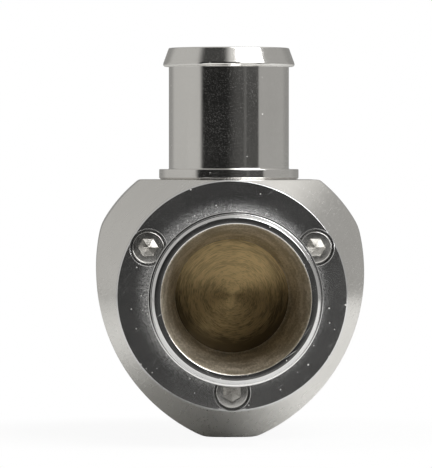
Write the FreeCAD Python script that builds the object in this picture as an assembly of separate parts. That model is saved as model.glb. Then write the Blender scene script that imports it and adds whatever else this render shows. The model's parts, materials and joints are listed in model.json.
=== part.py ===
import FreeCAD, Part
import math
import os

# A turbo bypass valve: a spring-loaded piston that closes the inlet and opens a side outlet.
# All sizes are in millimetres. The bore axis is +Y, from the inlet's mouth to the rear cap.
# The outlet points along +Z. The origin is on the bore axis, in the inlet flange's front face.

# Body, turned from round bar and milled to three lobes
BAR_RADIUS = 30.5
FOOT_CUT = 0.4
SIDE_CUT = 2.4
SIDE_RADIUS = 38.4
SIDE_CENTRE_Z = 5.0
SHOULDER_ANGLE = 40.0
FRONT_LAND = 2.0
GALLERY_STEP = 2.2
EDGE_BREAK = 0.3

# Inlet hose nipple, its flange and the seat behind it
INLET_TUBE_RADIUS = 16.0
INLET_LENGTH = 28.0
INLET_FLARE = 0.5
INLET_MOUTH_WALL = 1.0
FLANGE_THICKNESS = 8.0
FACE_CHAMFER = 0.3
BORE_STEP = 1.0
SEAT_WIDTH = 3.25
SEAT_DEPTH = 2.0
THROAT_LAND = 1.0

# Outlet hose nipple
OUTLET_TUBE_RADIUS = 12.7
OUTLET_LENGTH = 27.8
OUTLET_WALL = 2.45
PORT_STEP = 0.25
COLLAR_RISE = 2.05
COLLAR_HEIGHT = 2.2
COLLAR_SETBACK = 1.25
SPIGOT_STEP = 0.5
SPIGOT_LENGTH = 5.4

# Hose bead, shared by both nipples
BEAD_RISE = 1.2
BEAD_CONE = 3.3
BEAD_BACK = 0.65
BEAD_BLUNT = 0.3
MOUTH_CHAMFER = 0.3

# Socket head cap screws, three in the flange and three in the cap
SCREW_ANGLES = (30.0, 150.0, 270.0)
SOCKET_TURNS = (0.0, 0.0, 30.0)
SCREW_RADIUS = 2.08
SCREW_LENGTH = 9.5
HEAD_RADIUS = 3.43
HEAD_HEIGHT = 4.1
SOCKET_FLATS = 3.57
SOCKET_DEPTH = 2.2
HEAD_GAP = 0.37
HEAD_SUNK = 0.4
RIM_WALL = 0.2
TAP_SPARE = 1.5

# Piston and what it carries
STROKE = 12.0
WAIST_STEP = 1.0
SKIRT_GAP = 0.2
SKIRT_WALL = 4.0
CROWN_THICKNESS = 4.2
DISH_RIM = 0.75
DISH_DEPTH = 0.7
DISH_RING_RADIUS = 6.4
DISH_RING_STEP = 0.12
BAND_WIDTH = 2.0
BAND_THICKNESS = 0.9
BAND_LEAD = 0.7
BAND_SPLIT = 0.6
SKIRT_LAND = 1.0
PISTON_RING_SECTION = 1.8
NOSE_RING_OUT = 1.0
NOSE_RING_SECTION = 1.3
NOSE_RING_PROUD = 0.25
BUMP_RING_SECTION = 1.8
BUMP_RING_PROUD = 0.5

# Rear cap, spring and the spring's washers
CAP_THICKNESS = 7.0
WIRE_DIAMETER = 1.6
ACTIVE_TURNS = 5
STEPS_PER_TURN = 16
COIL_SPACING = 1.04
COIL_GAP = 1.0
THRUST_WASHER = 0.8
SHIM_THICKNESS = 0.8
SHIM_COUNT = 2
BOSS_GAP = 0.9
BOSS_LENGTH = 6.0

# Static seals
FACE_RING_DEPTH = 1.1
FACE_RING_WIDTH = 1.4
COLLAR_RING_SECTION = 1.1

# Vacuum hose nipple in the rear cap
VACUUM_THREAD_RADIUS = 4.0
VACUUM_BORE_RADIUS = 1.3
VACUUM_HEX_FLATS = 12.0
VACUUM_HEX_HEIGHT = 3.5
VACUUM_TUBE_RADIUS = 2.3
VACUUM_BARB_RADIUS = 3.0
VACUUM_BARB_PITCH = 3.2
VACUUM_BARB_COUNT = 3
VACUUM_NECK = 3.0
SEALING_WASHER = 1.0
SEALING_WASHER_RADIUS = 6.6

# Clearances
RUNNING_FIT = 0.05
THREAD_FIT = 0.05
SCREW_FIT = 0.17
SEAT_GAP = 0.1
GROOVE_FIT = 0.1
WALL_GAP = 0.4

# The screws stand between the inlet's tube and the rim, and the round faces follow from them
COUNTERBORE_RADIUS = HEAD_RADIUS + HEAD_GAP
COUNTERBORE_DEPTH = HEAD_HEIGHT + HEAD_SUNK
SCREW_HOLE_RADIUS = SCREW_RADIUS + SCREW_FIT
SCREW_CIRCLE = INLET_TUBE_RADIUS + RIM_WALL + COUNTERBORE_RADIUS
FACE_RADIUS = SCREW_CIRCLE + COUNTERBORE_RADIUS + RIM_WALL

# The bore stays inside the inlet's tube, and what runs in it follows from the bore
BORE_RADIUS = INLET_TUBE_RADIUS - BORE_STEP
GALLERY_RADIUS = BORE_RADIUS + GALLERY_STEP
THROAT_RADIUS = BORE_RADIUS - SEAT_WIDTH
PISTON_RADIUS = BORE_RADIUS - WAIST_STEP
SKIRT_RADIUS = BORE_RADIUS - SKIRT_GAP
CUP_RADIUS = SKIRT_RADIUS - SKIRT_WALL
DISH_RADIUS = THROAT_RADIUS - DISH_RIM
NOSE_RING_RADIUS = THROAT_RADIUS + NOSE_RING_OUT
BUMP_RING_RADIUS = (CUP_RADIUS + SKIRT_RADIUS) / 2
FACE_RING_RADIUS = (BORE_RADIUS + SCREW_CIRCLE - SCREW_HOLE_RADIUS) / 2
FACE_GROOVE_HALF = FACE_RING_WIDTH / 2 + GROOVE_FIT
BAND_OUTSIDE = BORE_RADIUS - RUNNING_FIT
BAND_SEAT = BAND_OUTSIDE - BAND_THICKNESS
PISTON_RING_SEAT = BAND_OUTSIDE - PISTON_RING_SECTION
SPRING_RADIUS = CUP_RADIUS - COIL_GAP - WIRE_DIAMETER / 2
BOSS_RADIUS = SPRING_RADIUS - WIRE_DIAMETER / 2 - BOSS_GAP
WASHER_INSIDE = SPRING_RADIUS - WIRE_DIAMETER
WASHER_OUTSIDE = SPRING_RADIUS + WIRE_DIAMETER - WALL_GAP

# The outlet's radii follow from its tube
OUTLET_BORE_RADIUS = OUTLET_TUBE_RADIUS - OUTLET_WALL
PORT_RADIUS = OUTLET_BORE_RADIUS - PORT_STEP
COLLAR_RADIUS = OUTLET_TUBE_RADIUS + COLLAR_RISE
SPIGOT_RADIUS = OUTLET_TUBE_RADIUS - SPIGOT_STEP

# Places along the bore axis, each worked out from the pieces before it
BODY_FRONT = FLANGE_THICKNESS
OUTLET_DEPTH = BODY_FRONT + COLLAR_SETBACK + COLLAR_RADIUS
GALLERY_FRONT = BODY_FRONT + FRONT_LAND
GALLERY_REAR = OUTLET_DEPTH + PORT_RADIUS
PISTON_FRONT = SEAT_DEPTH + SEAT_GAP + NOSE_RING_PROUD
CUP_FLOOR = PISTON_FRONT + CROWN_THICKNESS
FRONT_BAND = GALLERY_REAR + BAND_LEAD
RING_GROOVE = FRONT_BAND + BAND_WIDTH + SKIRT_LAND
REAR_BAND = RING_GROOVE + PISTON_RING_SECTION + 2 * GROOVE_FIT + SKIRT_LAND
PISTON_REAR = REAR_BAND + BAND_WIDTH + SKIRT_LAND
SKIRT_FRONT = FRONT_BAND - SKIRT_LAND
BODY_REAR = PISTON_REAR + STROKE + BUMP_RING_PROUD + SEAT_GAP
CAP_REAR = BODY_REAR + CAP_THICKNESS
SPRING_FRONT = CUP_FLOOR + THRUST_WASHER
SPRING_REAR = BODY_REAR - SHIM_COUNT * SHIM_THICKNESS

# Heights of the body's flats and of the outlet's end, and the side arcs' centres
TOP_FLAT = FACE_RADIUS
FOOT_FLAT = BAR_RADIUS - FOOT_CUT
OUTLET_TOP = TOP_FLAT + OUTLET_LENGTH
SIDE_CENTRE_X = SIDE_RADIUS - BAR_RADIUS + SIDE_CUT

ORIGIN = FreeCAD.Vector(0, 0, 0)
BORE_AXIS = FreeCAD.Vector(0, 1, 0)
UP = FreeCAD.Vector(0, 0, 1)
OUTLET_FOOT = FreeCAD.Vector(0, OUTLET_DEPTH, 0)


def profile_face(corners, place):
    """Closed flat face through (along, out) corners."""
    points = [place(along, out) for along, out in corners]
    return Part.Face(Part.makePolygon(points + points[:1]))


def turned(corners):
    """Solid turned about the bore axis from (depth, radius) corners."""
    face = profile_face(corners, lambda depth, radius: FreeCAD.Vector(radius, depth, 0))
    return face.revolve(ORIGIN, BORE_AXIS, 360)


def turned_upright(corners):
    """Solid turned about the outlet's axis from (height, radius) corners."""
    face = profile_face(corners, lambda height, radius: FreeCAD.Vector(radius, OUTLET_DEPTH, height))
    return face.revolve(OUTLET_FOOT, UP, 360)


def drilled(radius, front, rear, x=0.0, z=0.0):
    """Cylinder along the bore axis between two depths."""
    return Part.makeCylinder(radius, rear - front, FreeCAD.Vector(x, front, z), BORE_AXIS)


def washer(inside, outside, front, rear):
    """Flat ring about the bore axis."""
    return drilled(outside, front, rear).cut(drilled(inside, front, rear))


def pressed_ring(radius, section, front, height):
    """Seal ring about the bore axis, pressed to a flat-sided section between its groove's walls."""
    return washer(radius - section / 2, radius + section / 2, front, front + height)


def screw_places():
    """Centre (x, z) of each screw on the screw circle, with its socket's turn."""
    places = []
    for angle, turn in zip(SCREW_ANGLES, SOCKET_TURNS):
        x = SCREW_CIRCLE * math.cos(math.radians(angle))
        z = SCREW_CIRCLE * math.sin(math.radians(angle))
        places.append((x, z, turn))
    return places


def hexagon(flats, front, rear, turn=0.0):
    """Hexagonal prism about the bore axis, with its corners at the sides before the turn."""
    points = []
    for i in range(7):
        angle = math.radians(60 * i + turn)
        reach = flats / math.sqrt(3)
        points.append(FreeCAD.Vector(reach * math.cos(angle), front, reach * math.sin(angle)))
    return Part.Face(Part.makePolygon(points)).extrude(BORE_AXIS * (rear - front))


def lobed_bar():
    """Round bar cut by two shallow side arcs, the outlet's flat and the foot's flat."""
    length = BODY_REAR - BODY_FRONT
    bar = drilled(BAR_RADIUS, BODY_FRONT, BODY_REAR)
    for side in (-1, 1):
        bar = bar.common(drilled(SIDE_RADIUS, BODY_FRONT, BODY_REAR, side * SIDE_CENTRE_X, SIDE_CENTRE_Z))
    corner = FreeCAD.Vector(-BAR_RADIUS, BODY_FRONT, -FOOT_FLAT)
    return bar.common(Part.makeBox(2 * BAR_RADIUS, length, FOOT_FLAT + TOP_FLAT, corner))


def shoulders():
    """Turned envelope whose cones run from the flange and the cap out past the bar."""
    out = BAR_RADIUS + 1
    run = (out - FACE_RADIUS) / math.tan(math.radians(SHOULDER_ANGLE))
    corners = [
        (BODY_FRONT, 0),
        (BODY_FRONT, FACE_RADIUS),
        (BODY_FRONT + run, out),
        (BODY_REAR - run, out),
        (BODY_REAR, FACE_RADIUS),
        (BODY_REAR, 0),
    ]
    return turned(corners)


def body_bore():
    """Piston bore with broken edges and the gallery that leads the air round to the outlet."""
    mouth = BORE_RADIUS + EDGE_BREAK
    corners = [
        (BODY_FRONT, 0),
        (BODY_FRONT, BORE_RADIUS),
        (GALLERY_FRONT, BORE_RADIUS),
        (GALLERY_FRONT, GALLERY_RADIUS),
        (GALLERY_REAR, GALLERY_RADIUS),
        (GALLERY_REAR, BORE_RADIUS),
        (BODY_REAR - EDGE_BREAK, BORE_RADIUS),
        (BODY_REAR, mouth),
        (BODY_REAR, 0),
    ]
    return turned(corners)


def outlet_port():
    """Hole for the air, threaded hole for the spigot and seat for the collar's O-ring."""
    spigot_hole = SPIGOT_RADIUS + THREAD_FIT
    ring_seat = SPIGOT_RADIUS + COLLAR_RING_SECTION + 2 * GROOVE_FIT
    shelf = TOP_FLAT - SPIGOT_LENGTH - WALL_GAP
    corners = [
        (0, 0),
        (0, PORT_RADIUS),
        (shelf, PORT_RADIUS),
        (shelf, spigot_hole),
        (TOP_FLAT - COLLAR_RING_SECTION, spigot_hole),
        (TOP_FLAT - COLLAR_RING_SECTION, ring_seat),
        (TOP_FLAT, ring_seat),
        (TOP_FLAT, 0),
    ]
    return turned_upright(corners)


def tapped_holes():
    """Blind screw holes in the body's front and rear faces."""
    front_depth = SCREW_LENGTH - (FLANGE_THICKNESS - COUNTERBORE_DEPTH) + TAP_SPARE
    rear_depth = SCREW_LENGTH - (CAP_THICKNESS - COUNTERBORE_DEPTH) + TAP_SPARE
    holes = []
    for x, z, _ in screw_places():
        holes.append(drilled(SCREW_RADIUS + THREAD_FIT, BODY_FRONT, BODY_FRONT + front_depth, x, z))
        holes.append(drilled(SCREW_RADIUS + THREAD_FIT, BODY_REAR - rear_depth, BODY_REAR, x, z))
    return holes


def valve_body():
    """Three-lobed body with conical shoulders, the piston's bore and the outlet's port."""
    blank = lobed_bar().common(shoulders())
    return blank.cut([body_bore(), outlet_port()] + tapped_holes())


def hose_bead(tube_radius, end_radius, end, sign):
    """Corners of a hose bead, from the plain tube over the blunt crest to the nipple's end face."""
    crest = end_radius + BEAD_RISE
    back = end - sign * (BEAD_CONE + BEAD_BACK)
    return [
        (back, tube_radius),
        (back, crest - BEAD_BLUNT),
        (back + sign * BEAD_BLUNT, crest),
        (end - sign * BEAD_CONE, crest),
        (end, end_radius),
    ]


def inlet_flange():
    """Round flange and hose nipple in one turned piece, with the piston's seat inside."""
    mouth = -INLET_LENGTH
    mouth_radius = INLET_TUBE_RADIUS - INLET_MOUTH_WALL
    groove_in = FACE_RING_RADIUS - FACE_GROOVE_HALF
    groove_out = FACE_RING_RADIUS + FACE_GROOVE_HALF
    groove_floor = FLANGE_THICKNESS - FACE_RING_DEPTH
    corners = [
        (mouth, mouth_radius + MOUTH_CHAMFER),
        (mouth + MOUTH_CHAMFER, mouth_radius),
        (SEAT_DEPTH - THROAT_LAND, THROAT_RADIUS),
        (SEAT_DEPTH, THROAT_RADIUS),
        (SEAT_DEPTH, BORE_RADIUS),
        (FLANGE_THICKNESS, BORE_RADIUS),
        (FLANGE_THICKNESS, groove_in),
        (groove_floor, groove_in),
        (groove_floor, groove_out),
        (FLANGE_THICKNESS, groove_out),
        (FLANGE_THICKNESS, FACE_RADIUS),
        (FACE_CHAMFER, FACE_RADIUS),
        (0, FACE_RADIUS - FACE_CHAMFER),
        (0, INLET_TUBE_RADIUS),
    ]
    corners += hose_bead(INLET_TUBE_RADIUS, INLET_TUBE_RADIUS + INLET_FLARE, mouth, -1)
    flange = turned(corners)
    cuts = []
    for x, z, _ in screw_places():
        cuts.append(drilled(COUNTERBORE_RADIUS, 0, COUNTERBORE_DEPTH, x, z))
        cuts.append(drilled(SCREW_HOLE_RADIUS, COUNTERBORE_DEPTH, FLANGE_THICKNESS, x, z))
    return flange.cut(cuts)


def outlet_nipple():
    """Hose nipple with a collar and a threaded spigot that screws into the body."""
    foot = TOP_FLAT - SPIGOT_LENGTH
    collar_top = TOP_FLAT + COLLAR_HEIGHT
    corners = [
        (foot, OUTLET_BORE_RADIUS),
        (foot, SPIGOT_RADIUS),
        (TOP_FLAT, SPIGOT_RADIUS),
        (TOP_FLAT, COLLAR_RADIUS - EDGE_BREAK),
        (TOP_FLAT + EDGE_BREAK, COLLAR_RADIUS),
        (collar_top, COLLAR_RADIUS),
        (collar_top, OUTLET_TUBE_RADIUS),
    ]
    corners += hose_bead(OUTLET_TUBE_RADIUS, OUTLET_TUBE_RADIUS, OUTLET_TOP, 1)
    corners += [
        (OUTLET_TOP, OUTLET_BORE_RADIUS + MOUTH_CHAMFER),
        (OUTLET_TOP - MOUTH_CHAMFER, OUTLET_BORE_RADIUS),
    ]
    return turned_upright(corners)


def piston():
    """Cup with a dished crown, a nose groove and a grooved skirt for the bands and the seal."""
    crown = PISTON_FRONT
    half = NOSE_RING_SECTION / 2
    nose_floor = crown + NOSE_RING_SECTION - NOSE_RING_PROUD
    ring_end = RING_GROOVE + PISTON_RING_SECTION + 2 * GROOVE_FIT
    corners = [
        (crown + DISH_DEPTH, 0),
        (crown + DISH_DEPTH / 2, DISH_RING_RADIUS),
        (crown + DISH_DEPTH / 2 - DISH_RING_STEP, DISH_RING_RADIUS),
        (crown, DISH_RADIUS),
        (crown, NOSE_RING_RADIUS - half),
        (nose_floor, NOSE_RING_RADIUS - half),
        (nose_floor, NOSE_RING_RADIUS + half),
        (crown, NOSE_RING_RADIUS + half),
        (crown, PISTON_RADIUS),
        (SKIRT_FRONT - SKIRT_RADIUS + PISTON_RADIUS, PISTON_RADIUS),
        (SKIRT_FRONT, SKIRT_RADIUS),
        (FRONT_BAND, SKIRT_RADIUS),
        (FRONT_BAND, BAND_SEAT),
        (FRONT_BAND + BAND_WIDTH, BAND_SEAT),
        (FRONT_BAND + BAND_WIDTH, SKIRT_RADIUS),
        (RING_GROOVE, SKIRT_RADIUS),
        (RING_GROOVE, PISTON_RING_SEAT),
        (ring_end, PISTON_RING_SEAT),
        (ring_end, SKIRT_RADIUS),
        (REAR_BAND, SKIRT_RADIUS),
        (REAR_BAND, BAND_SEAT),
        (REAR_BAND + BAND_WIDTH, BAND_SEAT),
        (REAR_BAND + BAND_WIDTH, SKIRT_RADIUS),
        (PISTON_REAR, SKIRT_RADIUS),
        (PISTON_REAR, CUP_RADIUS + EDGE_BREAK),
        (PISTON_REAR - EDGE_BREAK, CUP_RADIUS),
        (CUP_FLOOR, CUP_RADIUS),
        (CUP_FLOOR, 0),
    ]
    return turned(corners)


def guide_band(front):
    """Split plastic band in the piston's skirt."""
    ring = washer(BAND_SEAT, BAND_OUTSIDE, front, front + BAND_WIDTH)
    corner = FreeCAD.Vector(0, front, -BAND_SPLIT / 2)
    return ring.cut(Part.makeBox(BORE_RADIUS, BAND_WIDTH, BAND_SPLIT, corner))


def piston_guide_band_front():
    """Band next to the gallery."""
    return guide_band(FRONT_BAND)


def piston_guide_band_rear():
    """Band at the open end of the cup."""
    return guide_band(REAR_BAND)


def piston_oring():
    """Sliding seal between the two bands."""
    radius = BAND_OUTSIDE - PISTON_RING_SECTION / 2
    return pressed_ring(radius, PISTON_RING_SECTION, RING_GROOVE + GROOVE_FIT, PISTON_RING_SECTION)


def piston_nose_oring():
    """Seal that stands proud of the crown and meets the seat."""
    front = PISTON_FRONT - NOSE_RING_PROUD
    return pressed_ring(NOSE_RING_RADIUS, NOSE_RING_SECTION, front, NOSE_RING_SECTION)


def inlet_flange_oring():
    """Face seal between the flange and the body."""
    front = FLANGE_THICKNESS - FACE_RING_DEPTH
    return pressed_ring(FACE_RING_RADIUS, FACE_RING_WIDTH, front, FACE_RING_DEPTH)


def rear_cap_oring():
    """Face seal between the body and the cap."""
    return pressed_ring(FACE_RING_RADIUS, FACE_RING_WIDTH, BODY_REAR, FACE_RING_DEPTH)


def bump_stop_ring():
    """Rubber ring in the cap that the piston's rim meets when the valve is fully open."""
    front = BODY_REAR - BUMP_RING_PROUD
    return pressed_ring(BUMP_RING_RADIUS, BUMP_RING_SECTION, front, BUMP_RING_SECTION)


def outlet_nipple_oring():
    """Seal round the spigot, under the collar."""
    inside = SPIGOT_RADIUS + GROOVE_FIT
    foot = TOP_FLAT - COLLAR_RING_SECTION
    corners = [
        (foot, inside),
        (foot, inside + COLLAR_RING_SECTION),
        (TOP_FLAT, inside + COLLAR_RING_SECTION),
        (TOP_FLAT, inside),
    ]
    return turned_upright(corners)


def rear_cap():
    """Round cap with a spring boss, two ring grooves and a threaded hole for the vacuum nipple."""
    half = BUMP_RING_SECTION / 2
    bump_floor = BODY_REAR + BUMP_RING_SECTION - BUMP_RING_PROUD
    groove_in = FACE_RING_RADIUS - FACE_GROOVE_HALF
    groove_out = FACE_RING_RADIUS + FACE_GROOVE_HALF
    groove_floor = BODY_REAR + FACE_RING_DEPTH
    thread = VACUUM_THREAD_RADIUS + THREAD_FIT
    corners = [
        (BODY_REAR - BOSS_LENGTH, thread),
        (BODY_REAR - BOSS_LENGTH, BOSS_RADIUS),
        (BODY_REAR, BOSS_RADIUS),
        (BODY_REAR, BUMP_RING_RADIUS - half),
        (bump_floor, BUMP_RING_RADIUS - half),
        (bump_floor, BUMP_RING_RADIUS + half),
        (BODY_REAR, BUMP_RING_RADIUS + half),
        (BODY_REAR, groove_in),
        (groove_floor, groove_in),
        (groove_floor, groove_out),
        (BODY_REAR, groove_out),
        (BODY_REAR, FACE_RADIUS),
        (CAP_REAR - FACE_CHAMFER, FACE_RADIUS),
        (CAP_REAR, FACE_RADIUS - FACE_CHAMFER),
        (CAP_REAR, thread),
    ]
    cuts = []
    for x, z, _ in screw_places():
        cuts.append(drilled(COUNTERBORE_RADIUS, CAP_REAR - COUNTERBORE_DEPTH, CAP_REAR, x, z))
        cuts.append(drilled(SCREW_HOLE_RADIUS, BODY_REAR, CAP_REAR - COUNTERBORE_DEPTH, x, z))
    return turned(corners).cut(cuts)


def cap_screw(turn):
    """Socket head cap screw with its head's seat at depth 0 and its shank along the bore axis."""
    corners = [
        (-HEAD_HEIGHT, 0),
        (-HEAD_HEIGHT, HEAD_RADIUS),
        (0, HEAD_RADIUS),
        (0, SCREW_RADIUS),
        (SCREW_LENGTH, SCREW_RADIUS),
        (SCREW_LENGTH, 0),
    ]
    return turned(corners).cut(hexagon(SOCKET_FLATS, -HEAD_HEIGHT, SOCKET_DEPTH - HEAD_HEIGHT, turn))


def inlet_flange_screws():
    """Three screws sunk in the flange's counterbores."""
    screws = []
    for x, z, turn in screw_places():
        screws.append(cap_screw(turn).translated(FreeCAD.Vector(x, COUNTERBORE_DEPTH, z)))
    return Part.makeCompound(screws)


def rear_cap_screws():
    """Three screws sunk in the cap's counterbores, pointing forward."""
    screws = []
    for x, z, turn in screw_places():
        screw = cap_screw(turn).rotated(ORIGIN, UP, 180)
        screws.append(screw.translated(FreeCAD.Vector(x, CAP_REAR - COUNTERBORE_DEPTH, z)))
    return Part.makeCompound(screws)


def spring_thrust_washer():
    """Steel washer on the cup's floor, under the spring's front end."""
    return washer(WASHER_INSIDE, WASHER_OUTSIDE, CUP_FLOOR, SPRING_FRONT)


def spring_preload_shims():
    """Steel shims on the cap, under the spring's rear end."""
    shims = []
    for i in range(SHIM_COUNT):
        front = SPRING_REAR + i * SHIM_THICKNESS
        shims.append(washer(BOSS_RADIUS + RUNNING_FIT, WASHER_OUTSIDE, front, front + SHIM_THICKNESS))
    return Part.makeCompound(shims)


def spring_height(turns):
    """Depth of the wire's centre after some turns; the first and last turns are closed coils."""
    closed = WIRE_DIAMETER * COIL_SPACING
    start = SPRING_FRONT - WIRE_DIAMETER / 4
    end = SPRING_REAR + WIRE_DIAMETER / 4
    pitch = (end - start - 2 * closed) / ACTIVE_TURNS
    active = min(max(turns - 1, 0), ACTIVE_TURNS)
    return start + closed * (turns - active) + pitch * active


def wire_section(turns):
    """Six-sided section of the spring's wire after some turns, in the plane of the bore axis."""
    turn = 2 * math.pi * turns
    points = []
    for i in range(7):
        angle = math.radians(60 * i)
        reach = SPRING_RADIUS + WIRE_DIAMETER / 2 * math.cos(angle)
        depth = spring_height(turns) + WIRE_DIAMETER / 2 * math.sin(angle)
        points.append(FreeCAD.Vector(reach * math.cos(turn), depth, reach * math.sin(turn)))
    return Part.makePolygon(points)


def return_spring():
    """Wire wound in short straight runs between its sections, with both ends ground flat."""
    steps = (ACTIVE_TURNS + 2) * STEPS_PER_TURN
    sections = [wire_section(i / STEPS_PER_TURN) for i in range(steps + 1)]
    coil = Part.makeLoft(sections, True, True)
    ends = [
        drilled(BORE_RADIUS, SPRING_FRONT - WIRE_DIAMETER, SPRING_FRONT),
        drilled(BORE_RADIUS, SPRING_REAR, SPRING_REAR + WIRE_DIAMETER),
    ]
    return coil.cut(ends)


def vacuum_nipple():
    """Hexagonal fitting with a threaded shank and a barbed tube for the vacuum hose."""
    hex_front = CAP_REAR + SEALING_WASHER
    hex_rear = hex_front + VACUUM_HEX_HEIGHT
    shank = BODY_REAR - BOSS_LENGTH + EDGE_BREAK
    corners = [
        (shank, VACUUM_BORE_RADIUS),
        (shank, VACUUM_THREAD_RADIUS),
        (hex_rear, VACUUM_THREAD_RADIUS),
        (hex_rear, VACUUM_TUBE_RADIUS),
    ]
    barb = hex_rear + VACUUM_NECK
    corners.append((barb, VACUUM_TUBE_RADIUS))
    for _ in range(VACUUM_BARB_COUNT):
        corners.append((barb, VACUUM_BARB_RADIUS))
        barb += VACUUM_BARB_PITCH
        corners.append((barb, VACUUM_TUBE_RADIUS))
    corners.append((barb, VACUUM_BORE_RADIUS))
    corner_radius = VACUUM_HEX_FLATS / math.sqrt(3)
    bevel = corner_radius - VACUUM_HEX_FLATS / 2
    nut_corners = [
        (hex_front, VACUUM_BORE_RADIUS),
        (hex_front, corner_radius),
        (hex_rear - bevel, corner_radius),
        (hex_rear, VACUUM_HEX_FLATS / 2),
        (hex_rear, VACUUM_BORE_RADIUS),
    ]
    nut = hexagon(VACUUM_HEX_FLATS, hex_front, hex_rear).common(turned(nut_corners))
    return turned(corners).fuse(nut).removeSplitter()


def vacuum_nipple_washer():
    """Sealing washer between the fitting and the cap."""
    inside = VACUUM_THREAD_RADIUS + THREAD_FIT
    return washer(inside, SEALING_WASHER_RADIUS, CAP_REAR, CAP_REAR + SEALING_WASHER)


NODES = (
    valve_body,
    inlet_flange,
    inlet_flange_oring,
    inlet_flange_screws,
    outlet_nipple,
    outlet_nipple_oring,
    piston,
    piston_nose_oring,
    piston_guide_band_front,
    piston_oring,
    piston_guide_band_rear,
    spring_thrust_washer,
    return_spring,
    spring_preload_shims,
    bump_stop_ring,
    rear_cap,
    rear_cap_oring,
    rear_cap_screws,
    vacuum_nipple,
    vacuum_nipple_washer,
)

os.makedirs("parts", exist_ok=True)
for node in NODES:
    node().exportStep("parts/" + node.__name__ + ".step")
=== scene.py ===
"""Looks for a turbo bypass valve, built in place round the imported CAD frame.

Sizes are in millimetres, as in the CAD source, and become metres on their way into a mesh. The bore
runs along +Y from the inlet's mouth to the rear cap, and the outlet stands along +Z.
"""

import json
import logging
import math
from collections.abc import Iterable, Sequence
from dataclasses import dataclass
from enum import Enum

import bmesh
import bpy
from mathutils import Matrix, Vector

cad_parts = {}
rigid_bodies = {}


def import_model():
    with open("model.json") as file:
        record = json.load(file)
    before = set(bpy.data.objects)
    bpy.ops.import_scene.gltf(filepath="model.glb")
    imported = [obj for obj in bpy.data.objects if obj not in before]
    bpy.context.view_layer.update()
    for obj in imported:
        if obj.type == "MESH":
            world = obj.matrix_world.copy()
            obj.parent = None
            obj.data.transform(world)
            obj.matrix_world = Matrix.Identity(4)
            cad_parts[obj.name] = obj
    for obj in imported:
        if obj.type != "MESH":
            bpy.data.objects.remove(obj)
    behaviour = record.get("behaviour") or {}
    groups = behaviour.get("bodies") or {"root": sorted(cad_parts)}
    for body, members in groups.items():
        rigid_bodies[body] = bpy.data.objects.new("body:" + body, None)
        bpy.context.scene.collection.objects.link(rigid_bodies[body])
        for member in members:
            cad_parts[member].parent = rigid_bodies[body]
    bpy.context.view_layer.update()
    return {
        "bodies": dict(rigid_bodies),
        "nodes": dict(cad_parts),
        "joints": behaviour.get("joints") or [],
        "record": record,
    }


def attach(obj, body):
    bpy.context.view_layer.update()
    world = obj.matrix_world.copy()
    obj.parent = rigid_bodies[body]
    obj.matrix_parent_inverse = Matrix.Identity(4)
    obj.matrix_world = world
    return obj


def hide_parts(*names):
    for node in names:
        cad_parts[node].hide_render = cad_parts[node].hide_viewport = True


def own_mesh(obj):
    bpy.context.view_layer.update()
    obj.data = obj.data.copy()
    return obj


LOG = logging.getLogger("bypass_valve")

MM = 0.001
OUTLET_DEPTH = 24.0
FOOT_FLAT = 30.1
BODY_FRONT = 8.0
BODY_REAR = 56.3
CAP_REAR = 63.3
FACE_RADIUS = 24.0
BORE_RADIUS = 15.0
SCREW_CIRCLE = 20.0
SCREW_COUNT = 3
COUNTERBORE_RADIUS = 3.8
COUNTERBORE_DEPTH = 4.5
CLEARANCE_RADIUS = 2.25
THREAD_RADIUS = 2.13
EDGE_BREAK = 0.12

Piece = bpy.types.Object
Shape = bmesh.types.BMesh
Point = tuple[float, float]
Profile = list[Point]


class Axis(Enum):
    """The two axes that the valve's round pieces are turned about."""

    BORE = "bore"
    OUTLET = "outlet"


# Node trees


class Wire:
    """An output socket that Python's arithmetic joins to Math nodes."""

    def __init__(self, tree: bpy.types.NodeTree, socket: bpy.types.NodeSocket) -> None:
        """Keeps the tree and the socket.

        Args:
            tree: The tree that the socket belongs to.
            socket: The output socket.
        """
        self.tree = tree
        self.socket = socket

    def math(self, operation: str, *terms: "Wire | float") -> "Wire":
        """Adds one Math node.

        Args:
            operation: The node's operation.
            *terms: The other inputs, as wires or numbers.

        Returns:
            The node's output.
        """
        node = self.tree.nodes.new("ShaderNodeMath")
        node.operation = operation
        for slot, term in zip(node.inputs, (self, *terms)):
            feed(self.tree, slot, term)
        return Wire(self.tree, node.outputs[0])

    def __add__(self, other: "Wire | float") -> "Wire":
        """Sum."""
        return self.math("ADD", other)

    def __sub__(self, other: "Wire | float") -> "Wire":
        """Difference."""
        return self.math("SUBTRACT", other)

    def __mul__(self, other: "Wire | float") -> "Wire":
        """Product."""
        return self.math("MULTIPLY", other)

    def __truediv__(self, other: "Wire | float") -> "Wire":
        """Quotient."""
        return self.math("DIVIDE", other)

    def flipped(self) -> "Wire":
        """One minus the value."""
        return (self * -1.0) + 1.0

    def clamped(self) -> "Wire":
        """The value held between 0 and 1."""
        return self.math("MINIMUM", 1.0).math("MAXIMUM", 0.0)


def feed(tree: bpy.types.NodeTree, slot: bpy.types.NodeSocket, value: object) -> None:
    """Links a wire to an input, or sets the input's own value.

    Args:
        tree: The tree that both belong to.
        slot: The input socket.
        value: A wire, an output socket or a plain value.
    """
    if isinstance(value, Wire):
        tree.links.new(value.socket, slot)
    elif isinstance(value, bpy.types.NodeSocket):
        tree.links.new(value, slot)
    else:
        slot.default_value = value


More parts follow.
